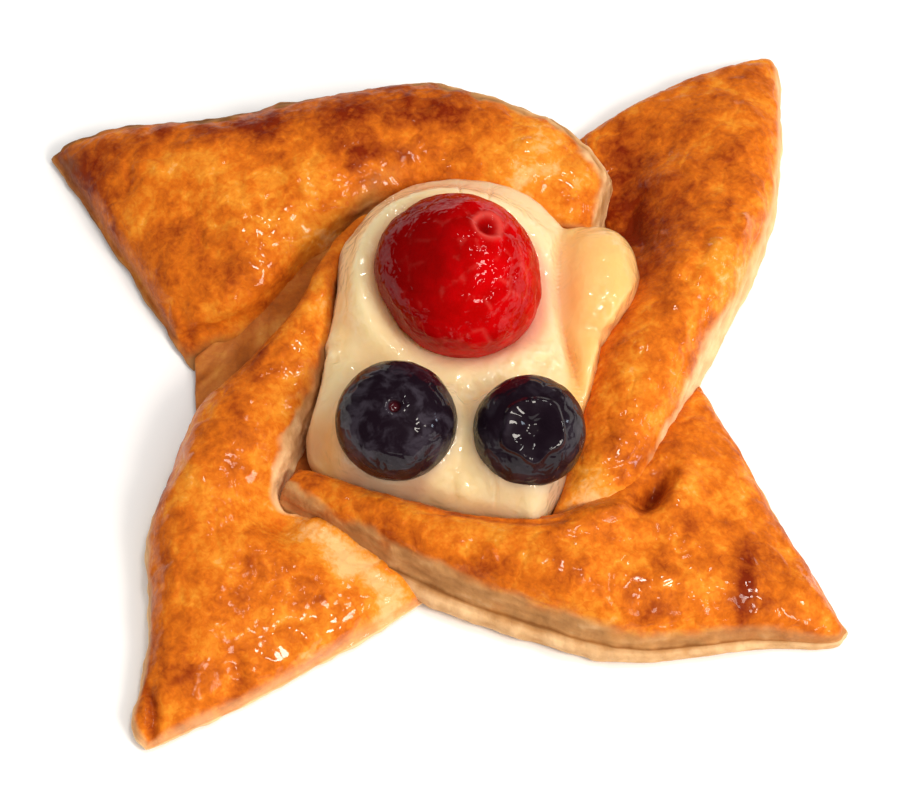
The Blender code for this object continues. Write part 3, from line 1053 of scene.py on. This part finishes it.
ARMS = (
    Arm(
        name="arm_back",
        outer=(
            (-55.4, 39.4),
            (-52.6, 41.0),
            (-44.5, 42.5),
            (-32.0, 43.3),
            (-24.0, 45.1),
            (-18.0, 45.9),
            (-4.0, 48.2),
            (3.4, 47.3),
            (13.4, 42.9),
            (17.8, 41.2),
            (25.4, 32.6),
        ),
        inner=((-34.0, 4.4), (-25.8, 8.4), (-17.0, 20.6), (-4.0, 28.5), (11.5, 26.6), (18.0, 23.6), (23.0, 23.0)),
        crest=(8.0, 11.5, 13.0, 13.2, 11.0),
        outer_wall=(3.0, 3.5, 5.0, 5.5, 6.5),
        inner_wall=(4.0, 6.5, 8.0, 8.5, 7.5),
        reach=13.0,
        bow=-0.2,
        outer_side=(1.0, 2.6, 1.6, 3.0, 3.2),
        inner_side=(-0.8, -0.8, -0.8, -0.4, 0.0),
        drape=(0.0, 0.25),
        short_side=0.0,
        end_side=1.2,
        lean=(4.8, 1.3, 0.2, 0.0, 0.0),
        # painted shade: the cut walls towards the tip lie in the valley by the left arm, face away from the lamps and
        # are darkened
        crumb_tone_and_shade=(0.92, 0.88, 0.70, 0.42, 0.30),
        strata=0.45,
        end_reach=6.0,
        blade_edge=1.6,
        blade_reach=10.0,
        # Besides browning, these dabs paint shade: darker on the short side, the back edge, the band's back slope and
        # by the valley next to the left arm, which face away from the lamps or lie in shade, and lighter at the band's
        # end, which faces them.
        browning_and_shade_dabs=(
            Dab((-51.0, 35.0), (6.5, 5.0), 0.43),
            Dab((-47.0, 36.5), (5.0, 3.0), -0.15, 10.0),
            Dab((-9.7, 33.5), (4.5, 1.6), 0.32),
            Dab((1.0, 39.8), (6.5, 2.6), 0.30, -6.0),
            Dab((-15.0, 34.5), (7.0, 6.0), 0.16),
            Dab((-9.0, 24.5), (5.0, 3.5), -0.30, 40.0),
            Dab((-24.0, 17.0), (6.0, 9.0), 0.12, 60.0),
            Dab((-40.0, 29.0), (7.0, 6.0), -0.06),
            Dab((-34.0, 9.0), (3.0, 5.0), 0.08, 60.0),
            Dab((-25.0, 38.0), (6.0, 4.0), 0.10),
            Dab((-27.5, 9.5), (4.0, 2.5), -0.14, 35.0),
            Dab((-45.5, 20.5), (25.0, 2.8), 0.26, -60.0),
            Dab((-17.0, 40.5), (18.0, 4.0), 0.27, 8.0),
            Dab((-33.0, 38.5), (14.0, 3.0), 0.22, 2.0),
            Dab((12.0, 33.0), (8.0, 4.0), -0.12, -20.0),
            Dab((20.0, 29.0), (5.0, 5.0), -0.12),
            Dab((-23.0, 25.0), (9.0, 7.0), -0.06, 40.0),
            Dab((-28.0, 12.0), (8.0, 5.0), -0.08, 60.0),
        ),
        matts=(
            Dab((-46.2, 20.0), (22.0, 2.0), 0.35, -60.0),
            Dab((-54.0, 37.0), (2.6, 3.6), 0.5, -50.0),
            Dab((-10.5, 25.0), (5.5, 1.5), 0.9, 52.0),
        ),
        wets=(
            Dab((-18.5, 27.0), (1.6, 1.6), 1.0),
            Dab((-22.0, 22.5), (3.0, 3.0), 1.0),
            Dab((-28.8, 20.0), (3.0, 2.4), 1.0),
            Dab((-26.5, 16.0), (3.0, 2.2), 1.0),
            Dab((13.0, 34.5), (3.0, 2.0), 0.8),
            Dab((19.2, 30.0), (3.6, 3.6), 1.0),
            Dab((-8.0, 29.0), (3.0, 2.0), 0.7),
            Dab((3.0, 31.0), (6.0, 2.0), 0.5),
        ),
        # the creases' tints paint shade in their grooves and light on the ridge
        creases=(
            Crease(((-36.5, 13.5), (-34.5, 8.5), (-31.0, 5.0)), 0.8, 0.5, 0.06),
            Crease(((-44.0, 33.0), (-40.5, 33.0), (-39.0, 30.0)), 0.8, -0.4, -0.06),
            Crease(((-44.5, 35.5), (-43.6, 31.0), (-45.0, 28.0)), 0.6, 0.35, 0.08),
            Crease(((-36.0, 27.5), (-33.5, 22.5), (-33.0, 17.0)), 0.8, 0.35, 0.04),
        ),
        sole=0.12,
        seed=11,
    ),
    Arm(
        name="arm_right",
        outer=(
            (47.3, 56.5),
            (49.8, 54.2),
            (49.7, 40.0),
            (46.7, 23.2),
            (37.2, 2.2),
            (31.4, -11.3),
            (27.2, -20.9),
        ),
        inner=((21.2, 42.9), (24.0, 29.0), (26.8, 14.0), (22.0, 1.0), (20.0, -7.0), (18.6, -13.5), (15.6, -22.8)),
        crest=(6.0, 9.5, 12.5, 13.0, 10.5),
        outer_wall=(3.0, 4.0, 4.2, 4.4, 4.6),
        inner_wall=(4.0, 5.5, 7.0, 7.5, 6.5),
        reach=11.0,
        bow=0.9,
        outer_side=(0.2, 0.2, 0.3, 0.8, 1.0),
        inner_side=(-0.8, -0.8, -0.8, 0.0, 0.0),
        drape=(0.0, 0.5),
        short_side=0.0,
        crumb_tone_and_shade=(0.14, 0.08, 0.03),
        upper_tone=0.0,
        strata=0.12,
        end_reach=5.0,
        end_height=0.8,
        blade_edge=2.0,
        dents=(
            Dab((26.5, 28.5), (5.5, 10.0), -4.6),
            Dab((31.0, 38.0), (8.0, 6.0), -1.2),
            Dab((33.5, 30.5), (4.0, 4.0), 0.7),
        ),
        # Besides browning, these dabs paint shade: darker on the root and back edge next to the back arm, which face
        # away from the lamps, and in the gap by the custard.
        browning_and_shade_dabs=(
            Dab((24.0, -3.0), (3.5, 10.0), 0.20, -10.0),
            Dab((27.5, 25.0), (4.5, 10.0), 0.38),
            Dab((26.5, 38.0), (5.0, 6.0), 0.24),
            Dab((39.0, 45.0), (13.0, 3.5), 0.24, 30.0),
            Dab((34.0, 31.0), (6.0, 6.0), 0.10),
            Dab((22.5, -21.0), (6.0, 3.5), -0.28),
            Dab((36.0, 8.0), (3.0, 9.0), -0.06, -15.0),
        ),
        wets=(
            Dab((43.5, 23.0), (1.4, 2.0), 1.0),
            Dab((39.5, 18.0), (2.0, 2.0), 1.0),
            Dab((33.5, 8.0), (3.0, 4.0), 0.9),
            Dab((28.5, 1.0), (2.6, 3.0), 0.8),
            Dab((25.0, -14.0), (2.5, 5.0), 0.5),
        ),
        # the creases' tints paint shade in their grooves
        creases=(
            Crease(((29.5, 31.0), (28.0, 26.0), (29.5, 21.0), (28.5, 17.0)), 1.0, 0.6, 0.10),
            Crease(((35.0, 41.0), (33.0, 36.0), (35.0, 31.0), (34.0, 26.0)), 1.2, 0.5, 0.06),
            Crease(((38.5, 22.0), (37.0, 16.0), (34.0, 10.0)), 1.0, 0.5, 0.10),
        ),
        sole=0.24,
        seed=12,
    ),
    Arm(
        name="arm_front",
        outer=(
            (55.3, -37.6),
            (53.2, -39.2),
            (43.5, -39.3),
            (34.0, -40.6),
            (27.0, -41.2),
            (18.5, -39.9),
            (0.5, -33.3),
            (-12.5, -25.8),
            (-21.6, -20.2),
        ),
        inner=((36.9, 0.7), (28.0, -13.0), (19.0, -22.5), (7.0, -23.6), (-7.0, -20.2), (-18.3, -15.4)),
        crest=(6.5, 10.0, 12.8, 12.5, 10.0),
        outer_wall=(2.6, 4.5, 6.0, 6.4, 6.5),
        inner_wall=(4.0, 6.0, 8.0, 8.5, 7.0),
        reach=11.0,
        bow=-0.4,
        outer_side=(0.2, 0.3, 0.5, 0.9, 1.4),
        inner_side=(0.0, 0.0, 0.0, 0.0, 0.0),
        short_side=0.0,
        lobe=(0.2, 0.5, 0.7, 0.7, 0.6),
        outer_lean=(0.3, 0.7, 1.2, 1.2, 1.0),
        crumb_tone_and_shade=(0.24, 0.24),
        upper_tone=0.34,
        strata=0.12,
        end_reach=3.0,
        end_height=0.88,
        end_side=-0.8,
        blade_edge=2.0,
        dents=(
            Dab((22.0, -26.0), (7.0, 2.2), 1.2, 10.0),
            Dab((29.6, -19.8), (4.0, 1.7), -3.8, 60.0),
            Dab((23.0, -24.0), (5.0, 1.8), 1.4, 5.0),
            Dab((33.0, -18.0), (3.0, 4.0), 1.0),
        ),
        # Besides browning and caramel spots, the dab in the dent by the right arm's end paints shade in that hollow.
        browning_and_shade_dabs=(
            Dab((41.5, -33.3), (1.5, 4.6), 0.50, -8.0),
            Dab((28.7, -38.0), (4.0, 2.0), 0.45, 22.0),
            Dab((7.2, -32.0), (2.6, 1.4), 0.25),
            Dab((35.5, -13.0), (4.0, 8.0), -0.06, 15.0),
            Dab((29.6, -19.8), (4.4, 1.7), 0.55, 60.0),
            Dab((21.0, -23.0), (6.0, 1.6), 0.14, 5.0),
            Dab((44.0, -30.0), (6.0, 8.0), 0.14, 20.0),
            Dab((-9.0, -25.5), (8.0, 2.6), 0.26, -32.0),
            Dab((34.2, -25.0), (3.0, 3.0), 0.20),
            Dab((13.0, -31.0), (9.0, 4.0), -0.11),
        ),
        # the creases' tints paint shade in their grooves
        creases=(
            Crease(((-3.0, -20.6), (5.0, -22.9), (12.0, -24.4), (18.0, -24.4)), 0.5, 0.7, 0.30),
            Crease(((-1.0, -22.9), (7.0, -25.0), (14.0, -26.0), (20.0, -25.6)), 0.6, 0.5, 0.22),
        ),
        wets=(
            Dab((33.0, -22.0), (2.6, 1.2), 1.0, -25.0),
            Dab((43.0, -32.0), (2.2, 4.0), 1.0),
            Dab((49.0, -33.0), (4.0, 4.0), 1.0, -30.0),
            Dab((31.0, -33.5), (5.0, 2.5), 0.9),
            Dab((14.0, -32.0), (4.0, 2.5), 0.5),
        ),
        sole=0.36,
        seed=13,
    ),
    Arm(
        name="arm_left",
        outer=(
            (-38.2, -54.2),
            (-40.1, -51.0),
            (-38.7, -44.0),
            (-38.4, -34.0),
            (-39.1, -24.8),
            (-36.6, -16.0),
            (-33.2, -6.2),
            (-26.8, 0.6),
            (-19.8, 8.8),
            (-15.4, 18.5),
            (-9.5, 26.2),
        ),
        inner=(
            (-1.2, -31.8),
            (-11.0, -23.0),
            (-21.0, -19.8),
            (-18.0, -9.5),
            (-14.6, 2.0),
            (-13.6, 10.0),
            (-12.4, 17.5),
            (-7.4, 24.0),
        ),
        crest=(6.0, 9.5, 12.5, 12.5, 10.5),
        outer_wall=(2.4, 2.8, 3.2, 4.5, 5.5),
        inner_wall=(3.0, 5.0, 7.0, 8.0, 7.0),
        reach=12.0,
        bow=1.0,
        outer_side=(0.2, 0.2, 0.2, 0.6, 0.4),
        inner_side=(0.5, 0.8, 1.7, 0.4, 0.3),
        short_side=0.0,
        # painted shade: the inner wall by the front arm's end lies in shade and is darkened
        crumb_tone_and_shade=(0.05, 0.05, 0.50, 0.50),
        strata=0.2,
        blade_edge=1.4,
        dents=(
            Dab((-15.0, -27.0), (8.0, 4.0), -1.6, -33.0),
            Dab((-21.5, -23.0), (3.8, 3.0), -3.0, -33.0),
        ),
        # Besides browning, these dabs paint shade darker along the left edge, which faces away from the lamps, and
        # lighter on the blade's side next to the front arm, which faces them.
        browning_and_shade_dabs=(
            Dab((-31.6, -33.0), (3.5, 2.0), 0.26),
            Dab((-32.5, -46.0), (5.0, 5.5), 0.22),
            Dab((-18.0, -38.0), (7.0, 4.0), -0.07),
            Dab((-30.0, -12.0), (6.0, 6.0), 0.12),
            Dab((-24.0, 2.5), (4.0, 6.0), 0.10),
            Dab((-12.0, -29.0), (11.0, 3.2), -0.42, -35.0),
            Dab((-37.5, -20.0), (2.2, 18.0), 0.22),
            Dab((-38.5, -44.0), (2.0, 9.0), 0.16),
        ),
        wets=(
            Dab((-17.0, -40.0), (8.0, 3.5), 1.0, 20.0),
            Dab((-35.0, -30.0), (2.0, 9.0), 0.7),
            Dab((-18.0, -2.0), (2.5, 5.0), 1.0),
            Dab((-15.0, 10.0), (2.0, 5.0), 0.6),
            Dab((-33.0, -16.0), (2.5, 5.0), 0.5),
        ),
        end_reach=3.0,
        # the creases' tints paint shade in their grooves
        creases=(
            Crease(((-26.6, -41.5), (-26.0, -46.5), (-29.0, -50.5)), 1.0, 0.6, 0.14),
            Crease(((-38.6, -46.0), (-37.2, -50.0), (-37.8, -54.5)), 0.8, 1.1, 0.22),
        ),
        sole=0.48,
        seed=14,
    ),
)


# ---------------------------------------------------------------- custard


@dataclass
class Custard:
    """The set custard: a pool with a lip round each berry and a lobe that spills to the right."""

    rim: tuple[Plan, ...] = (
        (-1.2, 28.3),
        (4.1, 28.7),
        (9.7, 27.9),
        (14.6, 25.2),
        (18.1, 21.3),
        (20.7, 21.2),
        (23.4, 20.8),
        (26.9, 18.2),
        (28.2, 14.4),
        (27.4, 10.5),
        (25.2, 6.6),
        (22.7, 2.7),
        (21.5, -2.0),
        (20.2, -8.0),
        (18.9, -12.8),
        (17.0, -18.6),
        (13.8, -24.2),
        (11.4, -24.0),
        (7.6, -23.0),
        (3.2, -22.0),
        (-0.4, -20.9),
        (-3.9, -20.1),
        (-7.8, -19.3),
        (-13.9, -17.0),
        (-16.6, -14.4),
        (-17.2, -11.2),
        (-16.2, -6.9),
        (-14.9, -0.8),
        (-14.9, 2.4),
        (-13.9, 7.8),
        (-13.2, 16.2),
        (-11.6, 19.6),
        (-8.5, 23.8),
        (-4.6, 26.8),
    )
    middle: Plan = (4.0, 2.0)
    cup: Plan = (3.4, 9.0)
    creases: tuple[Crease, ...] = (
        Crease(
            ((18.2, 23.0), (17.3, 18.0), (17.0, 12.0), (17.3, 6.0), (18.4, 0.5), (19.4, -5.0), (19.6, -8.0)), 0.8, 1.5
        ),
        Crease(((3.0, 28.0), (3.4, 25.0), (3.2, 21.0)), 0.16, 0.5),
        Crease(((8.0, 28.0), (7.8, 25.0), (7.2, 21.0)), 0.16, 0.5),
        Crease(((7.6, -20.0), (8.2, -22.0), (7.8, -24.5)), 0.16, 0.4),
    )
    ripples: tuple[Dab, ...] = (
        Dab((15.5, -1.0), (2.5, 3.0), 1.0),
        Dab((5.5, -9.0), (2.0, 5.0), 0.9, 60.0),
        Dab((11.0, -4.0), (5.5, 2.6), 1.0, 18.0),
        Dab((-14.0, -1.0), (1.6, 4.0), 1.0),
        Dab((23.5, 3.5), (2.0, 4.5), 0.8),
        Dab((5.0, -20.5), (5.0, 1.5), 0.8, -8.0),
    )
    seats: tuple[tuple[Plan, float], ...] = (((-5.2, -13.2), 7.4), ((12.7, -14.6), 6.9))
    lobes: tuple[tuple[Plan, Plan, float], ...] = (((22.7, 11.8), (5.9, 10.2), 15.4), ((20.7, 0.5), (3.3, 8.5), 13.2))
    floor: float = 4.5
    rim_height: float = 10.5
    crown: float = 12.4
    faces: int = 180
    courses: int = 10

    def height(self, plan: np.ndarray, inward: np.ndarray) -> np.ndarray:
        """Height of the custard's top.

        Args:
            plan: places, one row each.
            inward: distance in from the rim.

        Returns:
            The height at each place.
        """
        low = Dab((-16.5, -16.0), (5.0, 5.0), 3.8).on(plan)
        away = plan - np.array(self.cup)
        distance = np.linalg.norm(away, axis=1)
        bearing = np.arctan2(away[:, 1], away[:, 0])
        high = 0.5 + 0.5 * np.cos(bearing - math.radians(140))
        body = self.rim_height - low + 1.6 * high**2 + (self.crown - self.rim_height) * rise(inward, 4.0)
        crest = 13.0 + 1.0 * high
        ridge = (0.5 + 4.8 * high) * np.exp(-(((distance - crest) / (5.6 - 3.0 * (distance > crest))) ** 2))
        body = body + ridge * rise(inward, 2.0) - 4.0 * smooth_step(10.8, 8.0, distance)
        body = body + Dab((4.0, -8.0), (5.0, 5.5), 2.2).on(plan) + Dab((4.0, -15.0), (2.2, 6.0), 1.4).on(plan)
        body = body + Dab((12.5, -2.0), (5.0, 3.5), 1.4).on(plan)
        for centre, radius in self.seats:
            distance = np.linalg.norm(plan - np.array(centre), axis=1)
            body = body + 2.6 * np.exp(-(((distance - radius - 0.3) / 1.5) ** 2)) * rise(inward, 2.5)
            body = body - 3.0 * smooth_step(radius - 0.6, radius - 3.0, distance)
        for centre, radii, top in self.lobes:
            across, along = (plan - np.array(centre)).T
            reach = np.abs(across / radii[0]) ** 2.4 + np.abs(along / radii[1]) ** 2.4
            dome = np.maximum(1 - reach, 0.0) ** 0.45
            lobe = 8.0 + (top - 8.0) * dome
            body = 0.4 * np.logaddexp(body / 0.4, lobe / 0.4)
        for crease in self.creases:
            body = body - crease.depth * crease.on(plan)
        return np.maximum(body, self.floor + 0.5)

    def build(self, finish: bpy.types.Material) -> bpy.types.Object:
        """Models the custard.

        Args:
            finish: its material.

        Returns:
            The finished piece.
        """
        piece = grid_block("custard_pool", self.faces, self.faces, self.courses)
        block = read_places(piece)
        depth = -block[:, 2]
        share = np.maximum(np.abs(block[:, 0]), np.abs(block[:, 1]))
        bearing = np.arctan2(block[:, 1], block[:, 0])
        loop = curve_through(self.rim, np.linspace(0, 1, 721)[:-1], closed=True) - np.array(self.middle)
        angles = np.arctan2(loop[:, 1], loop[:, 0])
        order = np.argsort(angles)
        radius = np.interp(bearing, angles[order], np.linalg.norm(loop, axis=1)[order], period=2 * np.pi)
        ray = np.column_stack([np.cos(bearing), np.sin(bearing)])
        plan = np.array(self.middle) + ray * (radius * share)[:, None]
        top = self.height(plan, radius * (1 - share))
        belly = 0.5 * np.sin(np.pi * depth)
        plan = plan + ray * belly[:, None]
        write_places(piece, np.column_stack([plan, self.floor + (top - self.floor) * (1 - depth)]))
        self.sculpt(piece)
        piece.data.materials.append(finish)
        settle(piece, Slot.CUSTARD, "custard")
        return piece

    def left_of(self, places: np.ndarray) -> np.ndarray:
        """Share of the yellow band left of the raspberry's cup at each place."""
        return Dab((-12.5, 5.0), (2.6, 9.0), 1.0, -6.0).on(places)

    def sculpt(self, piece: bpy.types.Object) -> None:
        """Adds swells and works out the stains from the fruit and the painted shade round the blueberries, in the
        pocket and in the lobe's crease.

        Args:
            piece: the smooth pool.
        """
        places, normals = read_places(piece), read_normals(piece)
        grain = Grain(21)
        push = 0.18 * grain.layered(places, 6.0, 2) + 0.05 * grain.layered(places, 2.0, 2)
        push += 0.60 * sum_of(self.ripples, places) * grain.layered(places + 7, 2.2, 2)
        places += normals * (push * smooth_step(5.0, 8.0, places[:, 2]))[:, None]
        write_places(piece, places)
        away = places[:, :2] - np.array(self.cup)
        distance = np.linalg.norm(away, axis=1)
        bearing = np.arctan2(away[:, 1], away[:, 0])
        right = 0.5 + 0.5 * np.cos(bearing - math.radians(-25))
        upper = 0.5 + 0.5 * np.cos(bearing - math.radians(110))
        blush = np.exp(-((np.maximum(distance - 11.2, 0) / 1.8) ** 2)) * (0.10 + 0.55 * right**2 + 0.42 * upper**2)
        blush += Dab((3.0, 26.0), (9.0, 3.0), 0.32).on(places)
        # shade: a stain and painted shade round each blueberry, a painted shadow at the upper left of the left one and
        # painted shade in the pocket by the left arm
        shade = np.zeros(len(places))
        for centre, radius in self.seats:
            gap = np.linalg.norm(places[:, :2] - np.array(centre), axis=1) - radius - 0.2
            shade += np.exp(-((np.maximum(gap, 0) / 0.9) ** 2)) * 0.42
        shade += Dab((-10.5, -6.5), (5.0, 2.0), 0.30, 35.0).on(places)
        shade += Dab((-17.4, -13.6), (2.4, 4.5), 0.45, -8.0).on(places)
        # deeper yellow low down, on the lobe and left of the cup; in the lobe's crease and the pocket by the left arm
        # it is painted shade
        yolk_and_shade = 0.5 * (1 - smooth_step(6.0, 10.0, places[:, 2])) + 0.35 * self.creases[0].on(places)
        yolk_and_shade += Dab((-17.0, -14.5), (4.0, 4.5), 1.6).on(places)
        yolk_and_shade += 0.95 * smooth_step(17.0, 19.0, places[:, 0]) + 0.5 * smooth_step(0.5, 1.0, self.left_of(places))
        write_value(piece, "blush", np.clip(blush, 0, 1))
        write_value(piece, "shade", np.clip(shade, 0, 1))
        write_value(piece, "depth", np.clip(yolk_and_shade, 0, 1))


# ---------------------------------------------------------------- fruit


@dataclass
class Fruit:
    """A round fruit: where its middle is, how big it is, and which way its top points."""

    name: str
    node: str
    centre: tuple[float, float, float]
    width: float
    height: float
    lean: float
    heading: float

    def ball(self, fineness: int) -> bpy.types.Object:
        """Starts the fruit from an even ball.

        Args:
            fineness: how many times the ball's faces are split.

        Returns:
            The ball, of radius 1.
        """
        clear_selection()
        bpy.ops.mesh.primitive_ico_sphere_add(subdivisions=fineness, radius=1.0)
        piece = bpy.context.object
        piece.name = piece.data.name = self.name
        return piece

    def stand(self, piece: bpy.types.Object) -> None:
        """Leans the fruit and puts it in its seat.

        Args:
            piece: the fruit, made about the origin.
        """
        heading, lean = math.radians(self.heading), math.radians(self.lean)
        top = np.array([math.cos(heading) * math.sin(lean), math.sin(heading) * math.sin(lean), math.cos(lean)])
        side = np.array([math.cos(heading) * math.cos(lean), math.sin(heading) * math.cos(lean), -math.sin(lean)])
        basis = np.stack([side, np.cross(top, side), top])
        write_places(piece, read_places(piece) @ basis + np.array(self.centre))


@dataclass
class Raspberry(Fruit):
    """The raspberry, its drupelets softened by jelly."""

    drupelets: int = 118
    bulge: float = 0.5
    seed: int = 31

    def build(self, finish: bpy.types.Material) -> bpy.types.Object:
        """Models the raspberry.

        Args:
            finish: its material.

        Returns:
            The finished piece.
        """
        piece = self.ball(7)
        ray = read_places(piece)
        ray /= np.linalg.norm(ray, axis=1)[:, None]
        grain = Grain(self.seed)
        rng = np.random.default_rng(self.seed)
        k = np.arange(self.drupelets) + 0.5
        polar, spin = np.arccos(1 - 2 * k / self.drupelets), k * math.pi * (3 - math.sqrt(5))
        seats = np.column_stack([np.sin(polar) * np.cos(spin), np.sin(polar) * np.sin(spin), np.cos(polar)])
        seats += rng.normal(scale=0.035, size=seats.shape)
        seats = seats[seats[:, 2] < 0.955]
        seats /= np.linalg.norm(seats, axis=1)[:, None]
        near = np.sort(np.arccos(np.clip(ray @ seats.T, -1, 1)), axis=1)[:, :2]
        ridge = near[:, 1] - near[:, 0]
        dome = np.sqrt(np.clip(1 - (near[:, 0] / 0.30) ** 2, 0.0, 1.0))
        taper = 1 - 0.20 * smooth_step(-0.1, 1.0, ray[:, 2])
        bearing = np.degrees(np.arctan2(ray[:, 1], ray[:, 0]))
        flats = np.zeros(len(ray))
        for toward, much in ((120.0, 0.045), (195.0, 0.065), (-20.0, 0.03)):
            turn = (bearing - toward + 180) % 360 - 180
            flats += much * np.exp(-((turn / 26.0) ** 2))
        radius = self.width / 2 - self.bulge + 0.25
        girth = radius * taper * (1 - flats)
        form = np.column_stack([ray[:, 0] * girth, ray[:, 1] * 1.03 * girth, ray[:, 2] * self.height / 2])
        from_top = np.arccos(np.clip(ray[:, 2], -1, 1))
        crater = 0.30 * np.exp(-(((from_top - 0.235) / 0.07) ** 2)) - 0.9 * np.exp(-((from_top / 0.15) ** 2))
        push = self.bulge * dome + 0.10 * grain.layered(ray * 10, 2.5, 3) + crater
        write_places(piece, form + ray * push[:, None])
        seam = np.exp(-((ridge / 0.05) ** 2))
        write_value(piece, "ring", np.exp(-(((from_top - 0.21) / 0.045) ** 2)))
        write_value(piece, "seam", np.clip(seam, 0, 1))
        # painted shade: darker on the side turned from the lamps and in the hollow at the top
        away = 0.85 * smooth_step(-0.1, 0.95, -ray[:, 0] * 0.9 + ray[:, 1] * 0.35)
        write_value(piece, "painted_shade", np.clip(away + 0.8 * np.exp(-((from_top / 0.14) ** 2)), 0, 1))
        self.stand(piece)
        piece.data.materials.append(finish)
        settle(piece, Slot.RASPBERRY, self.node)
        return piece


@dataclass
class Blueberry(Fruit):
    """A blueberry with a stem scar or a crown."""

    top: Top = Top.SCAR
    seed: int = 41

    def build(self, finish: bpy.types.Material) -> bpy.types.Object:
        """Models the blueberry.

        Args:
            finish: its material.

        Returns:
            The finished piece.
        """
        piece = self.ball(7)
        ray = read_places(piece)
        ray /= np.linalg.norm(ray, axis=1)[:, None]
        grain = Grain(self.seed)
        form = ray * np.array([self.width / 2, self.width / 2, self.height / 2])
        out = np.linalg.norm(form[:, :2], axis=1)
        upper = ray[:, 2] > 0
        bearing = np.arctan2(ray[:, 1], ray[:, 0])
        push = 0.12 * grain.layered(ray * 10, 6.0, 3)
        if self.top is Top.SCAR:
            sink = -0.9 * (1 - smooth_step(0.55, 1.0, out)) + 0.14 * np.exp(-(((out - 1.25) / 0.22) ** 2))
            bare = 1 - smooth_step(0.7, 1.0, out)
            wine = 0.9 * (1 - smooth_step(0.6, 0.95, out))
        else:
            edge = 3.6 * (1 + 0.07 * np.cos(5 * bearing + 0.5)) + 0.5 * grain.at(ray * 10, 4.0)
            sink = -1.6 * (1 - smooth_step(0.2, 1.0, out / edge)) + 0.38 * np.exp(-(((out / edge - 1.06) / 0.13) ** 2))
            bare = 0.7 * (1 - smooth_step(0.7, 1.0, out / edge))
            wine = np.zeros(len(ray))
        push += np.where(upper, sink, 0.0)
        write_places(piece, form + ray * push[:, None])
        self.stand(piece)
        low = 1 - smooth_step(11.0, 14.5, read_places(piece)[:, 2])
        bare = np.where(upper, bare, 0.0) + (0.55 if self.top is Top.CROWN else 0.0)
        write_value(piece, "bare", np.clip(bare + low, 0, 1))
        write_value(piece, "wine", np.clip(np.where(upper, wine, 0.0) + 0.4 * low, 0, 1))
        piece.data.materials.append(finish)
        settle(piece, Slot.BLUEBERRY, self.node)
        return piece


BLUEBERRIES = (
    Blueberry("blueberry_scar", "blueberry_left", (-5.2, -13.2, 16.8), 16.4, 14.6, 14.0, -95.0, Top.SCAR, 41),
    Blueberry("blueberry_crown", "blueberry_right", (12.7, -14.6, 16.4), 15.2, 13.6, 27.0, -80.0, Top.CROWN, 42),
)


# ---------------------------------------------------------------- setting


@dataclass
class Studio:
    """Floor, lamps and camera."""

    aim: tuple[float, float, float] = (2.05, -7.45, 10.0)
    elevation: float = 60.0
    distance: float = 500.0
    lens: float = 146.0

    def floor(self) -> None:
        """Lays the pale floor."""
        clear_selection()
        bpy.ops.mesh.primitive_plane_add(size=4.0, location=(0.0, 0.0, 0.0))
        floor = bpy.context.object
        floor.name = "table_top"
        floor.data.materials.append(TableFinish().material())

    def lamp(
        self,
        name: str,
        toward: tuple[float, float, float],
        away: float,
        size: float,
        power: float,
        colour: Colour,
        mirrored: bool = True,
    ) -> None:
        """Hangs a round lamp that shines on the object.

        Args:
            name: name of the lamp.
            toward: direction from the object to the lamp.
            away: distance in metres.
            size: width in metres.
            power: power in watts.
            colour: colour of its light.
            mirrored: whether it shows in shiny surfaces.
        """
        data = bpy.data.lights.new(name, "AREA")
        data.shape = "DISK"
        data.size, data.energy, data.color = size, power, colour
        lamp = bpy.data.objects.new(name, data)
        bpy.context.scene.collection.objects.link(lamp)
        direction = Vector(toward).normalized()
        lamp.location = direction * away
        lamp.visible_glossy = mirrored
        lamp.rotation_euler = direction.to_track_quat("Z", "Y").to_euler()

    def camera(self) -> None:
        """Sets the camera."""
        slope = math.radians(self.elevation)
        aim = Vector(self.aim) * MM
        back = Vector((0.0, -math.cos(slope), math.sin(slope)))
        data = bpy.data.cameras.new("camera")
        data.lens, data.sensor_width = self.lens, 36.0
        data.clip_start, data.clip_end = 0.01, 20.0
        camera = bpy.data.objects.new("camera", data)
        bpy.context.scene.collection.objects.link(camera)
        camera.location = aim + back * self.distance * MM
        camera.rotation_euler = back.to_track_quat("Z", "Y").to_euler()
        bpy.context.scene.camera = camera

    def build(self) -> None:
        """Lays the floor, lights it and sets the camera."""
        self.floor()
        world = bpy.data.worlds.new("soft room")
        world.use_nodes = True
        world.node_tree.nodes["Background"].inputs["Color"].default_value = (1.0, 1.0, 1.0, 1.0)
        world.node_tree.nodes["Background"].inputs["Strength"].default_value = 0.60
        world.cycles_visibility.glossy = False
        bpy.context.scene.world = world
        bpy.context.scene.view_settings.view_transform = "Standard"
        self.lamp("key", (0.62, -0.46, 0.80), 0.8, 0.22, 3.1, (1.0, 0.93, 0.84))
        self.lamp("broad", (0.40, -0.42, 0.90), 0.8, 0.60, 1.9, (1.0, 0.94, 0.86), False)
        self.lamp("spark", (0.22, 0.06, 0.96), 0.8, 0.13, 1.2, (1.0, 0.97, 0.92))
        self.lamp("window", (0.95, -0.05, 0.30), 0.9, 0.16, 0.8, (0.72, 0.84, 1.0))
        self.camera()


def main() -> None:
    """Builds every piece and lights the set."""
    crust = CrustFinish().material()
    for arm in ARMS:
        arm.build(crust)
    Base().build(crust)
    Custard().build(CustardFinish().material())
    raspberry = Raspberry("raspberry_fruit", "raspberry", (3.4, 9.2, 18.7), 23.6, 20.8, lean=22.0, heading=19.0)
    raspberry.build(RaspberryFinish().material())
    skin = BlueberryFinish().material()
    for berry in BLUEBERRIES:
        berry.build(skin)
    Studio().build()


if __name__ == "__main__":
    logging.basicConfig(level=logging.INFO)
    main()
